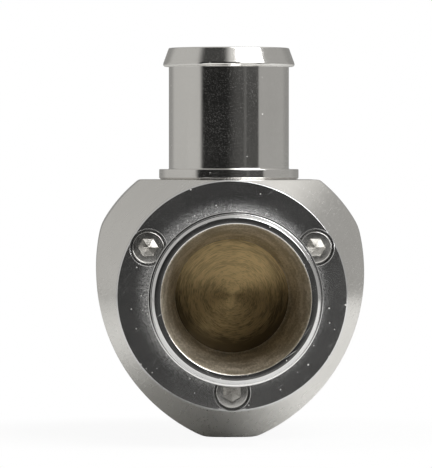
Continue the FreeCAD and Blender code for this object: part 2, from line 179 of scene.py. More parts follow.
class Sheet:
    """A node tree under construction."""

    def __init__(self, tree: bpy.types.NodeTree) -> None:
        """Keeps the tree.

        Args:
            tree: An empty or started node tree.
        """
        self.tree = tree

    def node(self, kind: str, inputs: dict | None = None, **settings: object) -> bpy.types.Node:
        """Adds a node.

        Args:
            kind: The node's type.
            inputs: Values or wires for its inputs, by name or number.
            **settings: Values for its own properties.

        Returns:
            The new node.
        """
        node = self.tree.nodes.new(kind)
        for name, value in settings.items():
            setattr(node, name, value)
        for key, value in (inputs or {}).items():
            feed(self.tree, node.inputs[key], value)
        return node

    def out(self, node: bpy.types.Node, output: str | int = 0) -> Wire:
        """One of a node's outputs as a wire."""
        return Wire(self.tree, node.outputs[output])

    def value(self, kind: str, inputs: dict | None = None, output: str | int = 0, **settings: object) -> Wire:
        """Adds a node and gives one of its outputs as a wire."""
        return self.out(self.node(kind, inputs, **settings), output)

    def split(self, vector: Wire) -> tuple[Wire, Wire, Wire]:
        """The x, y and z of a vector.

        Args:
            vector: The vector's wire.

        Returns:
            Three wires.
        """
        node = self.node("ShaderNodeSeparateXYZ", {0: vector})
        return self.out(node, 0), self.out(node, 1), self.out(node, 2)

    def joined(self, x: Wire | float, y: Wire | float = 0.0, z: Wire | float = 0.0) -> Wire:
        """A vector from its x, y and z."""
        return self.value("ShaderNodeCombineXYZ", {0: x, 1: y, 2: z})

    def noise(self, vector: Wire, scale: Wire | float, detail: float = 2.0, roughness: float = 0.5) -> Wire:
        """Noise over a vector, from 0 to 1."""
        inputs = {"Vector": vector, "Scale": scale, "Detail": detail, "Roughness": roughness}
        return self.value("ShaderNodeTexNoise", inputs)

    def mixed(self, share: Wire | float, low: object, high: object) -> Wire:
        """Mixes two colours.

        Args:
            share: How much of the second colour.
            low: The first colour, as a wire or four numbers.
            high: The second colour.

        Returns:
            The mixed colour.
        """
        node = self.node("ShaderNodeMix", data_type="RGBA")
        feed(self.tree, node.inputs[0], share)
        feed(self.tree, node.inputs[6], low)
        feed(self.tree, node.inputs[7], high)
        return self.out(node, 2)

    def between(self, value: Wire, low: float, high: float) -> Wire:
        """How far a value has gone from low to high, from 0 to 1, eased at both ends.

        Args:
            value: The value's wire.
            low: Where the result is 0.
            high: Where the result is 1.

        Returns:
            The share.
        """
        ends = {"Value": value, "From Min": low, "From Max": high}
        return self.value("ShaderNodeMapRange", ends, interpolation_type="SMOOTHSTEP")


class GroupSheet(Sheet):
    """A node group under construction, with named inputs and outputs."""

    def __init__(self, name: str, kind: str, inputs: Sequence[tuple], outputs: Sequence[tuple]) -> None:
        """Makes the group and its sockets.

        Args:
            name: The group's name.
            kind: ShaderNodeTree or GeometryNodeTree.
            inputs: (name, socket type, default) for each input, with None for no default.
            outputs: (name, socket type) for each output.
        """
        super().__init__(bpy.data.node_groups.new(name, kind))
        face = self.tree.interface
        for label, socket, default in inputs:
            item = face.new_socket(label, in_out="INPUT", socket_type=socket)
            if default is not None:
                item.default_value = default
        for label, socket in outputs:
            face.new_socket(label, in_out="OUTPUT", socket_type=socket)
        self.source = self.tree.nodes.new("NodeGroupInput")
        self.sink = self.tree.nodes.new("NodeGroupOutput")

    def __getitem__(self, name: str) -> Wire:
        """One of the group's inputs as a wire."""
        return self.out(self.source, name)

    def give(self, name: str, value: Wire | bpy.types.NodeSocket) -> None:
        """Joins a value to one of the group's outputs."""
        feed(self.tree, self.sink.inputs[name], value)


# Meshes


def placed(axis: Axis, along: float, out: float, turn: float) -> Vector:
    """A point of a turned piece, in metres.

    Args:
        axis: The axis that the piece is turned about.
        along: Distance along the axis in millimetres.
        out: Distance from the axis in millimetres.
        turn: Angle about the axis in radians.

    Returns:
        The point.
    """
    u, v = out * math.cos(turn), out * math.sin(turn)
    if axis is Axis.BORE:
        return Vector((u, along, v)) * MM
    return Vector((u, OUTLET_DEPTH + v, along)) * MM


def softened(corners: Sequence[tuple], closed: bool = True, steps: int = 4) -> Profile:
    """Rounds a profile's corners.

    Args:
        corners: (along, out) or (along, out, size of the rounding) for each corner.
        closed: Whether the last corner joins the first.
        steps: Straight runs in each rounding.

    Returns:
        The profile's points.
    """
    points: Profile = []
    count = len(corners)
    for i, corner in enumerate(corners):
        here = Vector(corner[:2])
        size = corner[2] if len(corner) > 2 else 0.0
        if size == 0.0 or (not closed and i in (0, count - 1)):
            points.append((here.x, here.y))
            continue
        before = Vector(corners[i - 1][:2]) - here
        after = Vector(corners[(i + 1) % count][:2]) - here
        start = here + before.normalized() * min(size, 0.48 * before.length)
        end = here + after.normalized() * min(size, 0.48 * after.length)
        for k in range(steps + 1):
            s = k / steps
            point = start * (1 - s) ** 2 + here * (2 * s * (1 - s)) + end * s**2
            points.append((point.x, point.y))
    return points


def new_piece(name: str, mesh: bpy.types.Mesh) -> Piece:
    """Puts a mesh into the scene as an object at the origin."""
    piece = bpy.data.objects.new(name, mesh)
    bpy.context.scene.collection.objects.link(piece)
    return piece


def formed(name: str, shape: Shape) -> Piece:
    """Points a shape's faces outwards and makes it an object.

    Args:
        name: The object's name.
        shape: The shape, which is freed.

    Returns:
        The new object.
    """
    bmesh.ops.recalc_face_normals(shape, faces=shape.faces)
    mesh = bpy.data.meshes.new(name)
    shape.to_mesh(mesh)
    shape.free()
    return new_piece(name, mesh)


def turned(name: str, profile: Profile, axis: Axis = Axis.BORE, closed: bool = True,
           segments: int = 192, at: Point = (0.0, 0.0)) -> Piece:
    """Turns a profile about an axis.

    Args:
        name: The object's name.
        profile: (along, out) points in millimetres.
        axis: The axis to turn about.
        closed: Whether the profile is a ring; otherwise it starts and ends on the axis.
        segments: Steps round the axis.
        at: Where the piece's own axis stands, as (x, z) beside the bore's axis.

    Returns:
        The new object, with its faces pointing outwards.
    """
    shape = bmesh.new()
    shift = Vector((at[0], 0.0, at[1])) * MM
    rings = []
    for along, out in profile:
        count = segments if out > 1e-6 else 1
        turns = [2 * math.pi * j / segments for j in range(count)]
        rings.append([shape.verts.new(placed(axis, along, out, turn) + shift) for turn in turns])
    pairs = list(zip(rings, rings[1:]))
    if closed:
        pairs.append((rings[-1], rings[0]))
    for first, second in pairs:
        for j in range(segments):
            k = j + 1
            corners = (first[j % len(first)], first[k % len(first)], second[k % len(second)], second[j % len(second)])
            shape.faces.new(list(dict.fromkeys(corners)))
    return formed(name, shape)


def settled(piece: Piece) -> Piece:
    """Turns a piece's modifiers into a plain mesh.

    Args:
        piece: The object to work on.

    Returns:
        The same object, with no modifiers.
    """
    bpy.context.view_layer.update()
    graph = bpy.context.evaluated_depsgraph_get()
    mesh = bpy.data.meshes.new_from_object(piece.evaluated_get(graph))
    piece.modifiers.clear()
    spare = piece.data
    piece.data = mesh
    bpy.data.meshes.remove(spare)
    mesh.name = piece.name
    return piece


def combined(piece: Piece, tools: Iterable[Piece], how: str = "DIFFERENCE") -> Piece:
    """Cuts a piece with other meshes, or joins or crosses it with them, and removes them.

    Args:
        piece: The object to work on.
        tools: The closed meshes to use.
        how: The Boolean's operation.

    Returns:
        The same object.
    """
    tools = list(tools)
    for tool in tools:
        step = piece.modifiers.new("step", "BOOLEAN")
        step.operation = how
        step.solver = "EXACT"
        step.object = tool
    settled(piece)
    for tool in tools:
        bpy.data.objects.remove(tool)
    return piece


def shaded(piece: Piece, sharp: float = 32.0) -> Piece:
    """Gives a piece smooth shading that stays flat on its flat faces.

    Args:
        piece: The object to work on.
        sharp: Edges that turn more than this many degrees stay sharp.

    Returns:
        The same object.
    """
    mesh = piece.data
    mesh.polygons.foreach_set("use_smooth", [True] * len(mesh.polygons))
    mesh.set_sharp_from_angle(angle=math.radians(sharp))
    weigh = piece.modifiers.new("weigh", "WEIGHTED_NORMAL")
    weigh.keep_sharp = True
    return settled(piece)


def grown(piece: Piece, group: GroupSheet, values: dict[str, object]) -> Piece:
    """Runs a geometry group on a piece and keeps the mesh that comes out.

    Args:
        piece: The object to work on.
        group: The geometry group.
        values: The group's inputs by name.

    Returns:
        The same object, with no modifiers.
    """
    shape = piece.modifiers.new("shape", "NODES")
    shape.node_group = group.tree
    for item in group.tree.interface.items_tree:
        if item.item_type == "SOCKET" and item.in_out == "INPUT" and item.name in values:
            shape[item.identifier] = values[item.name]
    return settled(piece)


def empty_piece(name: str) -> Piece:
    """An object with an empty mesh, for a geometry group to fill."""
    return new_piece(name, bpy.data.meshes.new(name))


# Geometry groups

FLOAT = "NodeSocketFloat"


def shaping(name: str, *inputs: tuple) -> GroupSheet:
    """Starts a geometry group that takes a material besides its own inputs and gives a geometry.

    Args:
        name: The group's name.
        *inputs: (name, socket type, default) for each input, with None for no default.

    Returns:
        The group.
    """
    sockets = [*inputs, ("Material", "NodeSocketMaterial", None)]
    return GroupSheet(name, "GeometryNodeTree", sockets, [("Geometry", "NodeSocketGeometry")])


def ended(group: GroupSheet, geometry: Wire) -> None:
    """Realizes a geometry group's instances, sets its material and gives it out.

    Args:
        group: The group, with a Material input.
        geometry: The finished geometry.
    """
    real = group.value("GeometryNodeRealizeInstances", {0: geometry})
    dressed = group.value("GeometryNodeSetMaterial", {"Geometry": real, "Material": group["Material"]})
    group.give("Geometry", dressed)


def swept_ring_group() -> GroupSheet:
    """A seal ring: an oval section swept round a circle about the bore's axis.

    Returns:
        The geometry group. Its lengths are in metres.
    """
    group = shaping(
        "swept_ring",
        ("Ring Radius", FLOAT, 0.01), ("Section Across", FLOAT, 0.001), ("Section Along", FLOAT, 0.001),
        ("Depth", FLOAT, 0.0),
    )
    path = group.value("GeometryNodeCurvePrimitiveCircle", {"Resolution": 160, "Radius": group["Ring Radius"]})
    section = group.value("GeometryNodeCurvePrimitiveCircle", {"Resolution": 20, "Radius": 0.5})
    scale = group.joined(group["Section Across"], group["Section Along"], 1.0)
    section = group.value("GeometryNodeTransform", {"Geometry": section, "Scale": scale})
    ring = group.value("GeometryNodeCurveToMesh", {"Curve": path, "Profile Curve": section})
    place = group.joined(0.0, group["Depth"])
    ring = group.value(
        "GeometryNodeTransform",
        {"Geometry": ring, "Translation": place, "Rotation": (math.radians(90), 0.0, 0.0)},
    )
    ended(group, ring)
    return group


def coil_group() -> GroupSheet:
    """A compression spring about the bore's axis, with closed and ground ends.

    Returns:
        The geometry group. Its lengths are in metres.
    """
    group = shaping(
        "ground_coil",
        ("Coil Radius", FLOAT, 0.009), ("Wire Radius", FLOAT, 0.0008), ("Active Turns", FLOAT, 5.0),
        ("Front", FLOAT, 0.0), ("Rear", FLOAT, 0.04), ("Closed Rise", FLOAT, 0.0017),
    )
    active, wire = group["Active Turns"], group["Wire Radius"]
    turns = active + 2.0
    count = 480
    line = group.value("GeometryNodeMeshLine", {"Count": count})
    index = group.value("GeometryNodeInputIndex")
    turn = turns * index / float(count - 1)
    open_turns = (turn - 1.0).math("MAXIMUM", 0.0).math("MINIMUM", active)
    start = group["Front"] - wire * 0.5
    end = group["Rear"] + wire * 0.5
    rise = (end - start - group["Closed Rise"] * 2.0) / active
    depth = start + group["Closed Rise"] * (turn - open_turns) + rise * open_turns
    angle = turn * (2 * math.pi)
    x = group["Coil Radius"] * angle.math("COSINE")
    z = group["Coil Radius"] * angle.math("SINE")
    place = group.joined(x, depth, z)
    line = group.value("GeometryNodeSetPosition", {"Geometry": line, "Position": place})
    path = group.value("GeometryNodeMeshToCurve", {"Mesh": line})
    section = group.value("GeometryNodeCurvePrimitiveCircle", {"Resolution": 20, "Radius": wire})
    coil = group.value("GeometryNodeCurveToMesh", {"Curve": path, "Profile Curve": section, "Fill Caps": True})
    there = group.split(group.value("GeometryNodeInputPosition"))
    ground = there[1].math("MAXIMUM", group["Front"]).math("MINIMUM", group["Rear"])
    flat = group.joined(there[0], ground, there[2])
    coil = group.value("GeometryNodeSetPosition", {"Geometry": coil, "Position": flat})
    ended(group, coil)
    return group


def screw_circle_group() -> GroupSheet:
    """Screws set round a circle about the bore's axis, one of them turned on its own axis.

    Returns:
        The geometry group. Its lengths are in metres.
    """
    group = shaping(
        "screw_circle",
        ("Screw", "NodeSocketObject", None), ("Count", "NodeSocketInt", 3), ("Circle Radius", FLOAT, 0.02),
        ("First Angle", FLOAT, 0.0), ("Depth", FLOAT, 0.0), ("Turned Screw", FLOAT, 2.0), ("Extra Turn", FLOAT, 0.0),
        ("Facing", FLOAT, 0.0),
    )
    points = group.value("GeometryNodeMeshLine", {"Count": group["Count"]})
    index = group.value("GeometryNodeInputIndex")
    angle = group["First Angle"] + index * (2 * math.pi) / group["Count"]
    radius = group["Circle Radius"]
    x, z = radius * angle.math("COSINE"), radius * angle.math("SINE")
    place = group.joined(x, group["Depth"], z)
    points = group.value("GeometryNodeSetPosition", {"Geometry": points, "Position": place})
    chosen = index.math("COMPARE", group["Turned Screw"], 0.5)
    turn = group.joined(0.0, chosen * group["Extra Turn"], group["Facing"])
    screw = group.value("GeometryNodeObjectInfo", {"Object": group["Screw"]}, output="Geometry")
    screws = group.value("GeometryNodeInstanceOnPoints", {"Points": points, "Instance": screw, "Rotation": turn})
    ended(group, screws)
    return group


def barb_row_group() -> GroupSheet:
    """A row of hose barbs along the bore's axis, added to a fitting.

    Returns:
        The geometry group. Its lengths are in metres.
    """
    group = shaping(
        "barb_row",
        ("Geometry", "NodeSocketGeometry", None), ("Barb", "NodeSocketObject", None), ("Count", "NodeSocketInt", 3),
        ("Pitch", FLOAT, 0.003), ("First Depth", FLOAT, 0.0),
    )
    first = group.joined(0.0, group["First Depth"])
    step = group.joined(0.0, group["Pitch"])
    row = {"Count": group["Count"], "Start Location": first, "Offset": step}
    points = group.value("GeometryNodeMeshLine", row)
    barb = group.value("GeometryNodeObjectInfo", {"Object": group["Barb"]}, output="Geometry")
    barbs = group.value("GeometryNodeInstanceOnPoints", {"Points": points, "Instance": barb})
    both = group.node("GeometryNodeJoinGeometry")
    group.tree.links.new(group["Geometry"].socket, both.inputs[0])
    group.tree.links.new(barbs.socket, both.inputs[0])
    ended(group, group.out(both))
    return group


def polar_circle(away: Wire, off: float, radius: float) -> Wire:
    """How far a circle reaches from the bore's axis in some direction.

    Args:
        away: The circle's centre, measured along that direction.
        off: The centre's distance from the axis.
        radius: The circle's radius.

    Returns:
        The reach.
    """
    return away + (away * away + (radius**2 - off**2)).math("SQRT")


def lobed_blank_group() -> GroupSheet:
    """The body's blank: an outline of bar, side arcs and flats, met by a cone at each end.

    Each row of the grid follows the crease where the outline meets the cone, so that the crease is
    rounded by the same amount all the way round.

    Returns:
        The geometry group. Its lengths are in millimetres until the last step.
    """
    group = shaping(
        "lobed_blank",
        ("Face Radius", FLOAT, 24.0), ("Front", FLOAT, 8.0), ("Rear", FLOAT, 56.3), ("Shoulder Angle", FLOAT, 40.0),
        ("Bar Radius", FLOAT, 30.5), ("Top Flat", FLOAT, 24.0), ("Foot Flat", FLOAT, 30.1),
        ("Edge Break", FLOAT, 0.5),
    )
    around, rows, side_radius, side_x, side_z = 960, 18, 38.4, 10.3, 5.0
    size = {"Size X": 1.0, "Size Y": 1.0, "Vertices X": around + 1, "Vertices Y": rows}
    grid = group.value("GeometryNodeMeshGrid", size)
    u, v, _ = group.split(group.value("GeometryNodeInputPosition"))
    angle = (u + 0.5) * (2 * math.pi)
    cosine, sine = angle.math("COSINE"), angle.math("SINE")
    off = math.hypot(side_x, side_z)
    soften = group["Edge Break"] * 1.6
    outline = polar_circle(cosine * side_x + sine * side_z, off, side_radius)
    outline = outline.math("MINIMUM", polar_circle(cosine * -side_x + sine * side_z, off, side_radius))
    outline = outline.math("SMOOTH_MIN", group["Bar Radius"], soften)
    top = group["Top Flat"] / sine.math("MAXIMUM", 0.05)
    foot = group["Foot Flat"] / (sine * -1.0).math("MAXIMUM", 0.05)
    outline = outline.math("SMOOTH_MIN", top, soften).math("SMOOTH_MIN", foot, soften)
    row = (v + 0.5) * float(rows - 1)
    from_end = row.math("MINIMUM", (row * -1.0) + float(rows - 1)).math("ROUND")
    slope = (group["Shoulder Angle"] * (math.pi / 180)).math("TANGENT")
    run = (outline - group["Face Radius"]) / slope
    inner = from_end * 0.01
    depth = (run + (from_end - 4.5) * (group["Edge Break"] * 0.4)).math("MAXIMUM", inner)
    depth = depth * from_end.math("MINIMUM", 1.0)
    cone = group["Face Radius"] + depth * slope
    reach = outline.math("SMOOTH_MIN", cone, group["Edge Break"])
    in_front = row.math("LESS_THAN", rows / 2)
    front = group["Front"] + depth
    rear = group["Rear"] - depth
    along = rear + in_front * (front - rear)
    place = group.joined(reach * cosine, along, reach * sine)
    blank = group.value("GeometryNodeSetPosition", {"Geometry": grid, "Position": place})
    blank = group.value("GeometryNodeMergeByDistance", {"Geometry": blank, "Distance": 0.002})
    blank = group.value("GeometryNodeTransform", {"Geometry": blank, "Scale": (MM, MM, MM)})
    ended(group, blank)
    return group


# Shader groups

# How much the scratch noise is squeezed along, under and across the scratches.
SCRATCH_SCALE = (130.0, 900.0, 5200.0)
# The extra turn and the strength of each set of scratches.
SCRATCH_FANS = ((0.0, 1.0), (0.35, 0.7), (-1.2, 0.5))
# How far the lathe's rings move per step along the axis, against a step away from it.
LATHE_SLANT = 0.83


def effect(name: str, *inputs: tuple[str, float]) -> GroupSheet:
    """Starts a shader group that takes a vector and some numbers and gives a value.

    Args:
        name: The group's name.
        *inputs: (name, default) for each number.

    Returns:
        The group.
    """
    sockets = [("Vector", "NodeSocketVector", None), *((label, FLOAT, start) for label, start in inputs)]
    return GroupSheet(name, "ShaderNodeTree", sockets, [("Value", FLOAT)])


class Effects:
    """The shader groups that the finishes share, each made once."""

    def __init__(self) -> None:
        """Makes the groups."""
        self.turned_lines = self._turned_lines()
        self.haze = self._haze()
        self.scratches = self._scratches()
        self.dust = self._dust()
        self.edge_wear = self._edge_wear()

    def _turned_lines(self) -> GroupSheet:
        """Fine rings left by the lathe, about the pattern's own Z axis."""
        group = effect("turned_lines", ("Pitch", 0.2), ("Wander", 0.15))
        x, y, z = group.split(group["Vector"])
        radius = (x * x + y * y).math("SQRT")
        where = (radius + z * LATHE_SLANT) / group["Pitch"] / MM
        wander = group.noise(group["Vector"], 90.0, 1.0)
        where = where + wander * group["Wander"]
        fine, broad = (
            group.value(
                "ShaderNodeTexNoise", {"W": w, "Scale": 1.0, "Detail": detail, "Roughness": roughness},
                noise_dimensions="1D",
            )
            for w, detail, roughness in ((where, 2.0, 0.6), (where * 0.11, 1.0, 0.5))
        )
        group.give("Value", (fine * 0.7 + broad * 0.3).clamped())
        return group

    def _haze(self) -> GroupSheet:
        """Slow, soft unevenness of a polished or handled surface."""
        group = effect("haze", ("Scale", 60.0))
        noise = group.noise(group["Vector"], group["Scale"], 4.0, 0.6)
        group.give("Value", group.between(noise, 0.3, 0.7))
        return group

    def _scratches(self) -> GroupSheet:
        """Fine straight scratches that lie along one direction, with a few strays."""
        group = effect("scratches", ("Angle", 0.6), ("Amount", 0.5))
        total = None
        for extra, share in SCRATCH_FANS:
            turn = group.joined(0.0, group["Angle"] + extra)
            turned_to = group.value("ShaderNodeMapping", {"Vector": group["Vector"], "Rotation": turn})
            scale = group.joined(*SCRATCH_SCALE)
            fine = group.value("ShaderNodeVectorMath", {0: turned_to, 1: scale}, operation="MULTIPLY")
            noise = group.noise(fine, 1.0, 2.0)
            edge = group["Amount"] * -0.2 + 0.72
            line = ((noise - edge) * 12.0).clamped() * share
            total = line if total is None else total.math("MAXIMUM", line)
        group.give("Value", total)
        return group

    def _dust(self) -> GroupSheet:
        """Scattered specks of dust and small pits."""
        group = effect("dust", ("Cells", 900.0), ("Size", 0.12), ("Amount", 0.1))
        cells = group.node("ShaderNodeTexVoronoi", {"Vector": group["Vector"], "Scale": group["Cells"]})
        red, green, _ = group.split(group.out(cells, "Color"))
        size = group["Size"] * (green + 0.4)
        speck = ((size - group.out(cells, "Distance")) * 14.0).clamped()
        chosen = red.math("LESS_THAN", group["Amount"])
        group.give("Value", speck * chosen)
        return group

    def _edge_wear(self) -> GroupSheet:
        """A mask of the piece's edges, broken up as wear is."""
        group = effect("edge_wear", ("Radius", 0.0004), ("Gain", 3.0))
        rounded = group.value("ShaderNodeBevel", {"Radius": group["Radius"]}, samples=4)
        plain = group.value("ShaderNodeNewGeometry", output="Normal")
        dot = group.value("ShaderNodeVectorMath", {0: rounded, 1: plain}, output="Value", operation="DOT_PRODUCT")
        noise = group.noise(group["Vector"], 700.0, 3.0)
        edge = dot.flipped() * group["Gain"] * (noise * 1.4 + 0.3)
        group.give("Value", edge.clamped())
        return group


# Finishes

Colour = tuple[float, float, float]

DUST_TONE: Colour = (0.85, 0.84, 0.8)


def solid(colour: Colour) -> tuple[float, float, float, float]:
    """A colour with full alpha, as colour sockets take it."""
    return (*colour, 1.0)


@dataclass
class Layers:
    """The values that a finish's patterns add up to before they reach the shader."""

    tone: Wire
    rough: Wire
    height: Wire
    metallic: Wire | float


@dataclass(frozen=True)
class Finish:
    """What every finish has: a name, two tones that it wanders between, and a gloss."""

    name: str
    tone: Colour
    dark_tone: Colour
    roughness: float
    rough_spread: float = 0.05
    metallic: float = 1.0
    relief: float = 0.02
    dust: float = 0.0
    worn_tone: Colour = (0.9, 0.89, 0.87)
    wear: float = 0.4

    def material(self, effects: Effects) -> bpy.types.Material:
        """Builds the material.

        Args:
            effects: The shared shader groups.

        Returns:
            The material.
        """
        material = bpy.data.materials.new(self.name)
        material.use_nodes = True
        material.node_tree.nodes.clear()
        sheet = Sheet(material.node_tree)
        shader = sheet.node("ShaderNodeBsdfPrincipled")
        self.paint(sheet, effects, shader)
        end = sheet.node("ShaderNodeOutputMaterial")
        sheet.tree.links.new(shader.outputs[0], end.inputs["Surface"])
        return material

    def place(self, sheet: Sheet) -> Wire:
        """The surface's place in the piece's own space."""
        return sheet.value("ShaderNodeTexCoord", output="Object")

    def apply(self, sheet: Sheet, group: GroupSheet, **inputs: object) -> Wire:
        """Puts a shared effect into the material.

        Args:
            sheet: The material's tree.
            group: The effect's group.
            **inputs: The group's inputs, with spaces in their names as underscores.

        Returns:
            The effect's value.
        """
        node = sheet.node("ShaderNodeGroup", node_tree=group.tree)
        for name, value in inputs.items():
            feed(sheet.tree, node.inputs[name.replace("_", " ")], value)
        return sheet.out(node)

    def layers(self, sheet: Sheet, effects: Effects) -> Layers:
        """Adds up the finish's patterns; each kind of finish has its own."""
        raise NotImplementedError

    def paint(self, sheet: Sheet, effects: Effects, shader: bpy.types.Node) -> None:
        """Joins the finish's patterns to the shader.

        Args:
            sheet: The material's tree.
            effects: The shared shader groups.
            shader: The Principled shader.
        """
        layers = self.layers(sheet, effects)
        relief = {"Strength": 1.0, "Distance": self.relief * MM, "Height": layers.height}
        inputs = {
            "Base Color": layers.tone, "Roughness": layers.rough, "Metallic": layers.metallic,
            "Normal": sheet.value("ShaderNodeBump", relief, output="Normal"),
        }
        for name, value in inputs.items():
            feed(sheet.tree, shader.inputs[name], value)


@dataclass(frozen=True)
class TurnedMetal(Finish):
    """Metal turned on a lathe: rings about an axis, haze, specks of dust and worn edges."""

    axis: Axis = Axis.BORE
    pitch: float = 0.22
    anisotropy: float = 0.0
    scratch: float = 0.0
    film: float = 0.0

    def centred(self, sheet: Sheet) -> Wire:
        """The surface's place with the lathe's axis as Z.

        Args:
            sheet: The material's tree.

        Returns:
            The turned coordinates.
        """
        place = self.place(sheet)
        if self.axis is Axis.OUTLET:
            return sheet.value("ShaderNodeMapping", {"Vector": place, "Location": (0.0, -OUTLET_DEPTH * MM, 0.0)})
        return sheet.value("ShaderNodeMapping", {"Vector": place, "Rotation": (math.radians(90), 0.0, 0.0)})

    def paint(self, sheet: Sheet, effects: Effects, shader: bpy.types.Node) -> None:
        """Joins the patterns to the shader, and draws the gloss out across the rings.

        Args:
            sheet: The material's tree.
            effects: The shared shader groups.
            shader: The Principled shader.
        """
        super().paint(sheet, effects, shader)
        if self.anisotropy:
            shader.inputs["Anisotropic"].default_value = self.anisotropy
            shader.inputs["Anisotropic Rotation"].default_value = 0.25
            axis = "Y" if self.axis is Axis.BORE else "Z"
            tangent = sheet.value("ShaderNodeTangent", direction_type="RADIAL", axis=axis)
            feed(sheet.tree, shader.inputs["Tangent"], tangent)

    def layers(self, sheet: Sheet, effects: Effects) -> Layers:
        """Adds up the rings, the haze, the wear, the dust and the scratches.

        Args:
            sheet: The material's tree.
            effects: The shared shader groups.

        Returns:
            The tone, roughness, height and metalness.
        """
        place = self.place(sheet)
        lines = self.apply(sheet, effects.turned_lines, Vector=self.centred(sheet), Pitch=self.pitch)
        haze = self.apply(sheet, effects.haze, Vector=place, Scale=70.0)
        edge = self.apply(sheet, effects.edge_wear, Vector=place) * self.wear
        grain = sheet.noise(place, 3600.0, 3.0, 0.7)
        film = sheet.between(grain, 0.5, 0.7) * self.film
        tone = sheet.mixed((lines * 0.6 + haze * 0.4).clamped(), solid(self.dark_tone), solid(self.tone))
        tone = sheet.mixed(edge, tone, solid(self.worn_tone))
        rough = (lines + haze - 1.0) * self.rough_spread + self.roughness + film
        layers = Layers(tone, rough, lines, film * -1.0 + self.metallic)
        if self.dust:
            specks = self.apply(sheet, effects.dust, Vector=place, Amount=self.dust)
            self.cover(sheet, layers, specks, 3.0)
        if self.scratch:
            marks = self.apply(sheet, effects.scratches, Vector=place, Amount=self.scratch)
            self.cover(sheet, layers, marks * 0.4, 1.5)
        return layers

    def cover(self, sheet: Sheet, layers: Layers, mask: Wire, rise: float) -> None:
        """Lays pale matt matter over the metal where a mask says so.

        Args:
            sheet: The material's tree.
            layers: The layers to change.
            mask: Where it lies, from 0 to 1.
            rise: How far it stands up, against the rings' height.
        """
        layers.tone = sheet.mixed(mask * 0.8, layers.tone, solid(DUST_TONE))
        layers.rough = layers.rough + mask * 0.5
        layers.height = layers.height + mask * rise
        layers.metallic = layers.metallic - mask * 0.9


@dataclass(frozen=True)
class PlainMetal(Finish):
    """Drawn, stamped or cast metal with a fine even grain and worn edges."""

    grain: float = 1500.0

    def layers(self, sheet: Sheet, effects: Effects) -> Layers:
        """Adds up the haze, the grain and the worn edges.

        Args:
            sheet: The material's tree.
            effects: The shared shader groups.

        Returns:
            The tone, roughness, height and metalness.
        """
        place = self.place(sheet)
        haze = self.apply(sheet, effects.haze, Vector=place, Scale=160.0)
        grain = sheet.noise(place, self.grain, 3.0)
        edge = self.apply(sheet, effects.edge_wear, Vector=place, Radius=0.0002) * self.wear
        tone = sheet.mixed((haze * 0.6 + grain * 0.4).clamped(), solid(self.dark_tone), solid(self.tone))
        tone = sheet.mixed(edge, tone, solid(self.worn_tone))
        rough = (grain + haze - 1.0) * self.rough_spread + self.roughness
        return Layers(tone, rough, grain, self.metallic)


@dataclass(frozen=True)
class SatinBody(Finish):
    """The body's satin skin: turned shoulders with a diagonal brush over them."""

    def layers(self, sheet: Sheet, effects: Effects) -> Layers:
        """Adds up the rings, the haze, the brush marks and the worn edges.

        Args:
            sheet: The material's tree.
            effects: The shared shader groups.

        Returns:
            The tone, roughness, height and metalness.
        """
        place = self.place(sheet)
        centred = sheet.value("ShaderNodeMapping", {"Vector": place, "Rotation": (math.radians(90), 0.0, 0.0)})
        lines = self.apply(sheet, effects.turned_lines, Vector=centred, Pitch=0.3)
        haze = self.apply(sheet, effects.haze, Vector=place, Scale=45.0)
        marks = self.apply(sheet, effects.scratches, Vector=place, Angle=0.75, Amount=0.55)
        edge = self.apply(sheet, effects.edge_wear, Vector=place) * self.wear
        tone = sheet.mixed((lines * 0.35 + haze * 0.65).clamped(), solid(self.dark_tone), solid(self.tone))
        tone = sheet.mixed(marks * 0.25, tone, solid(self.dark_tone))
        tone = sheet.mixed(edge, tone, solid(self.worn_tone))
        rough = (lines + haze - 1.0) * self.rough_spread + marks * 0.1 + self.roughness
        return Layers(tone, rough, lines * 0.6 + marks * 2.0, self.metallic)


def radius_of(sheet: Sheet, place: Wire) -> Wire:
    """How far the surface is from the bore's axis, in millimetres."""
    x, _, z = sheet.split(place)
    return (x * x + z * z).math("SQRT") / MM


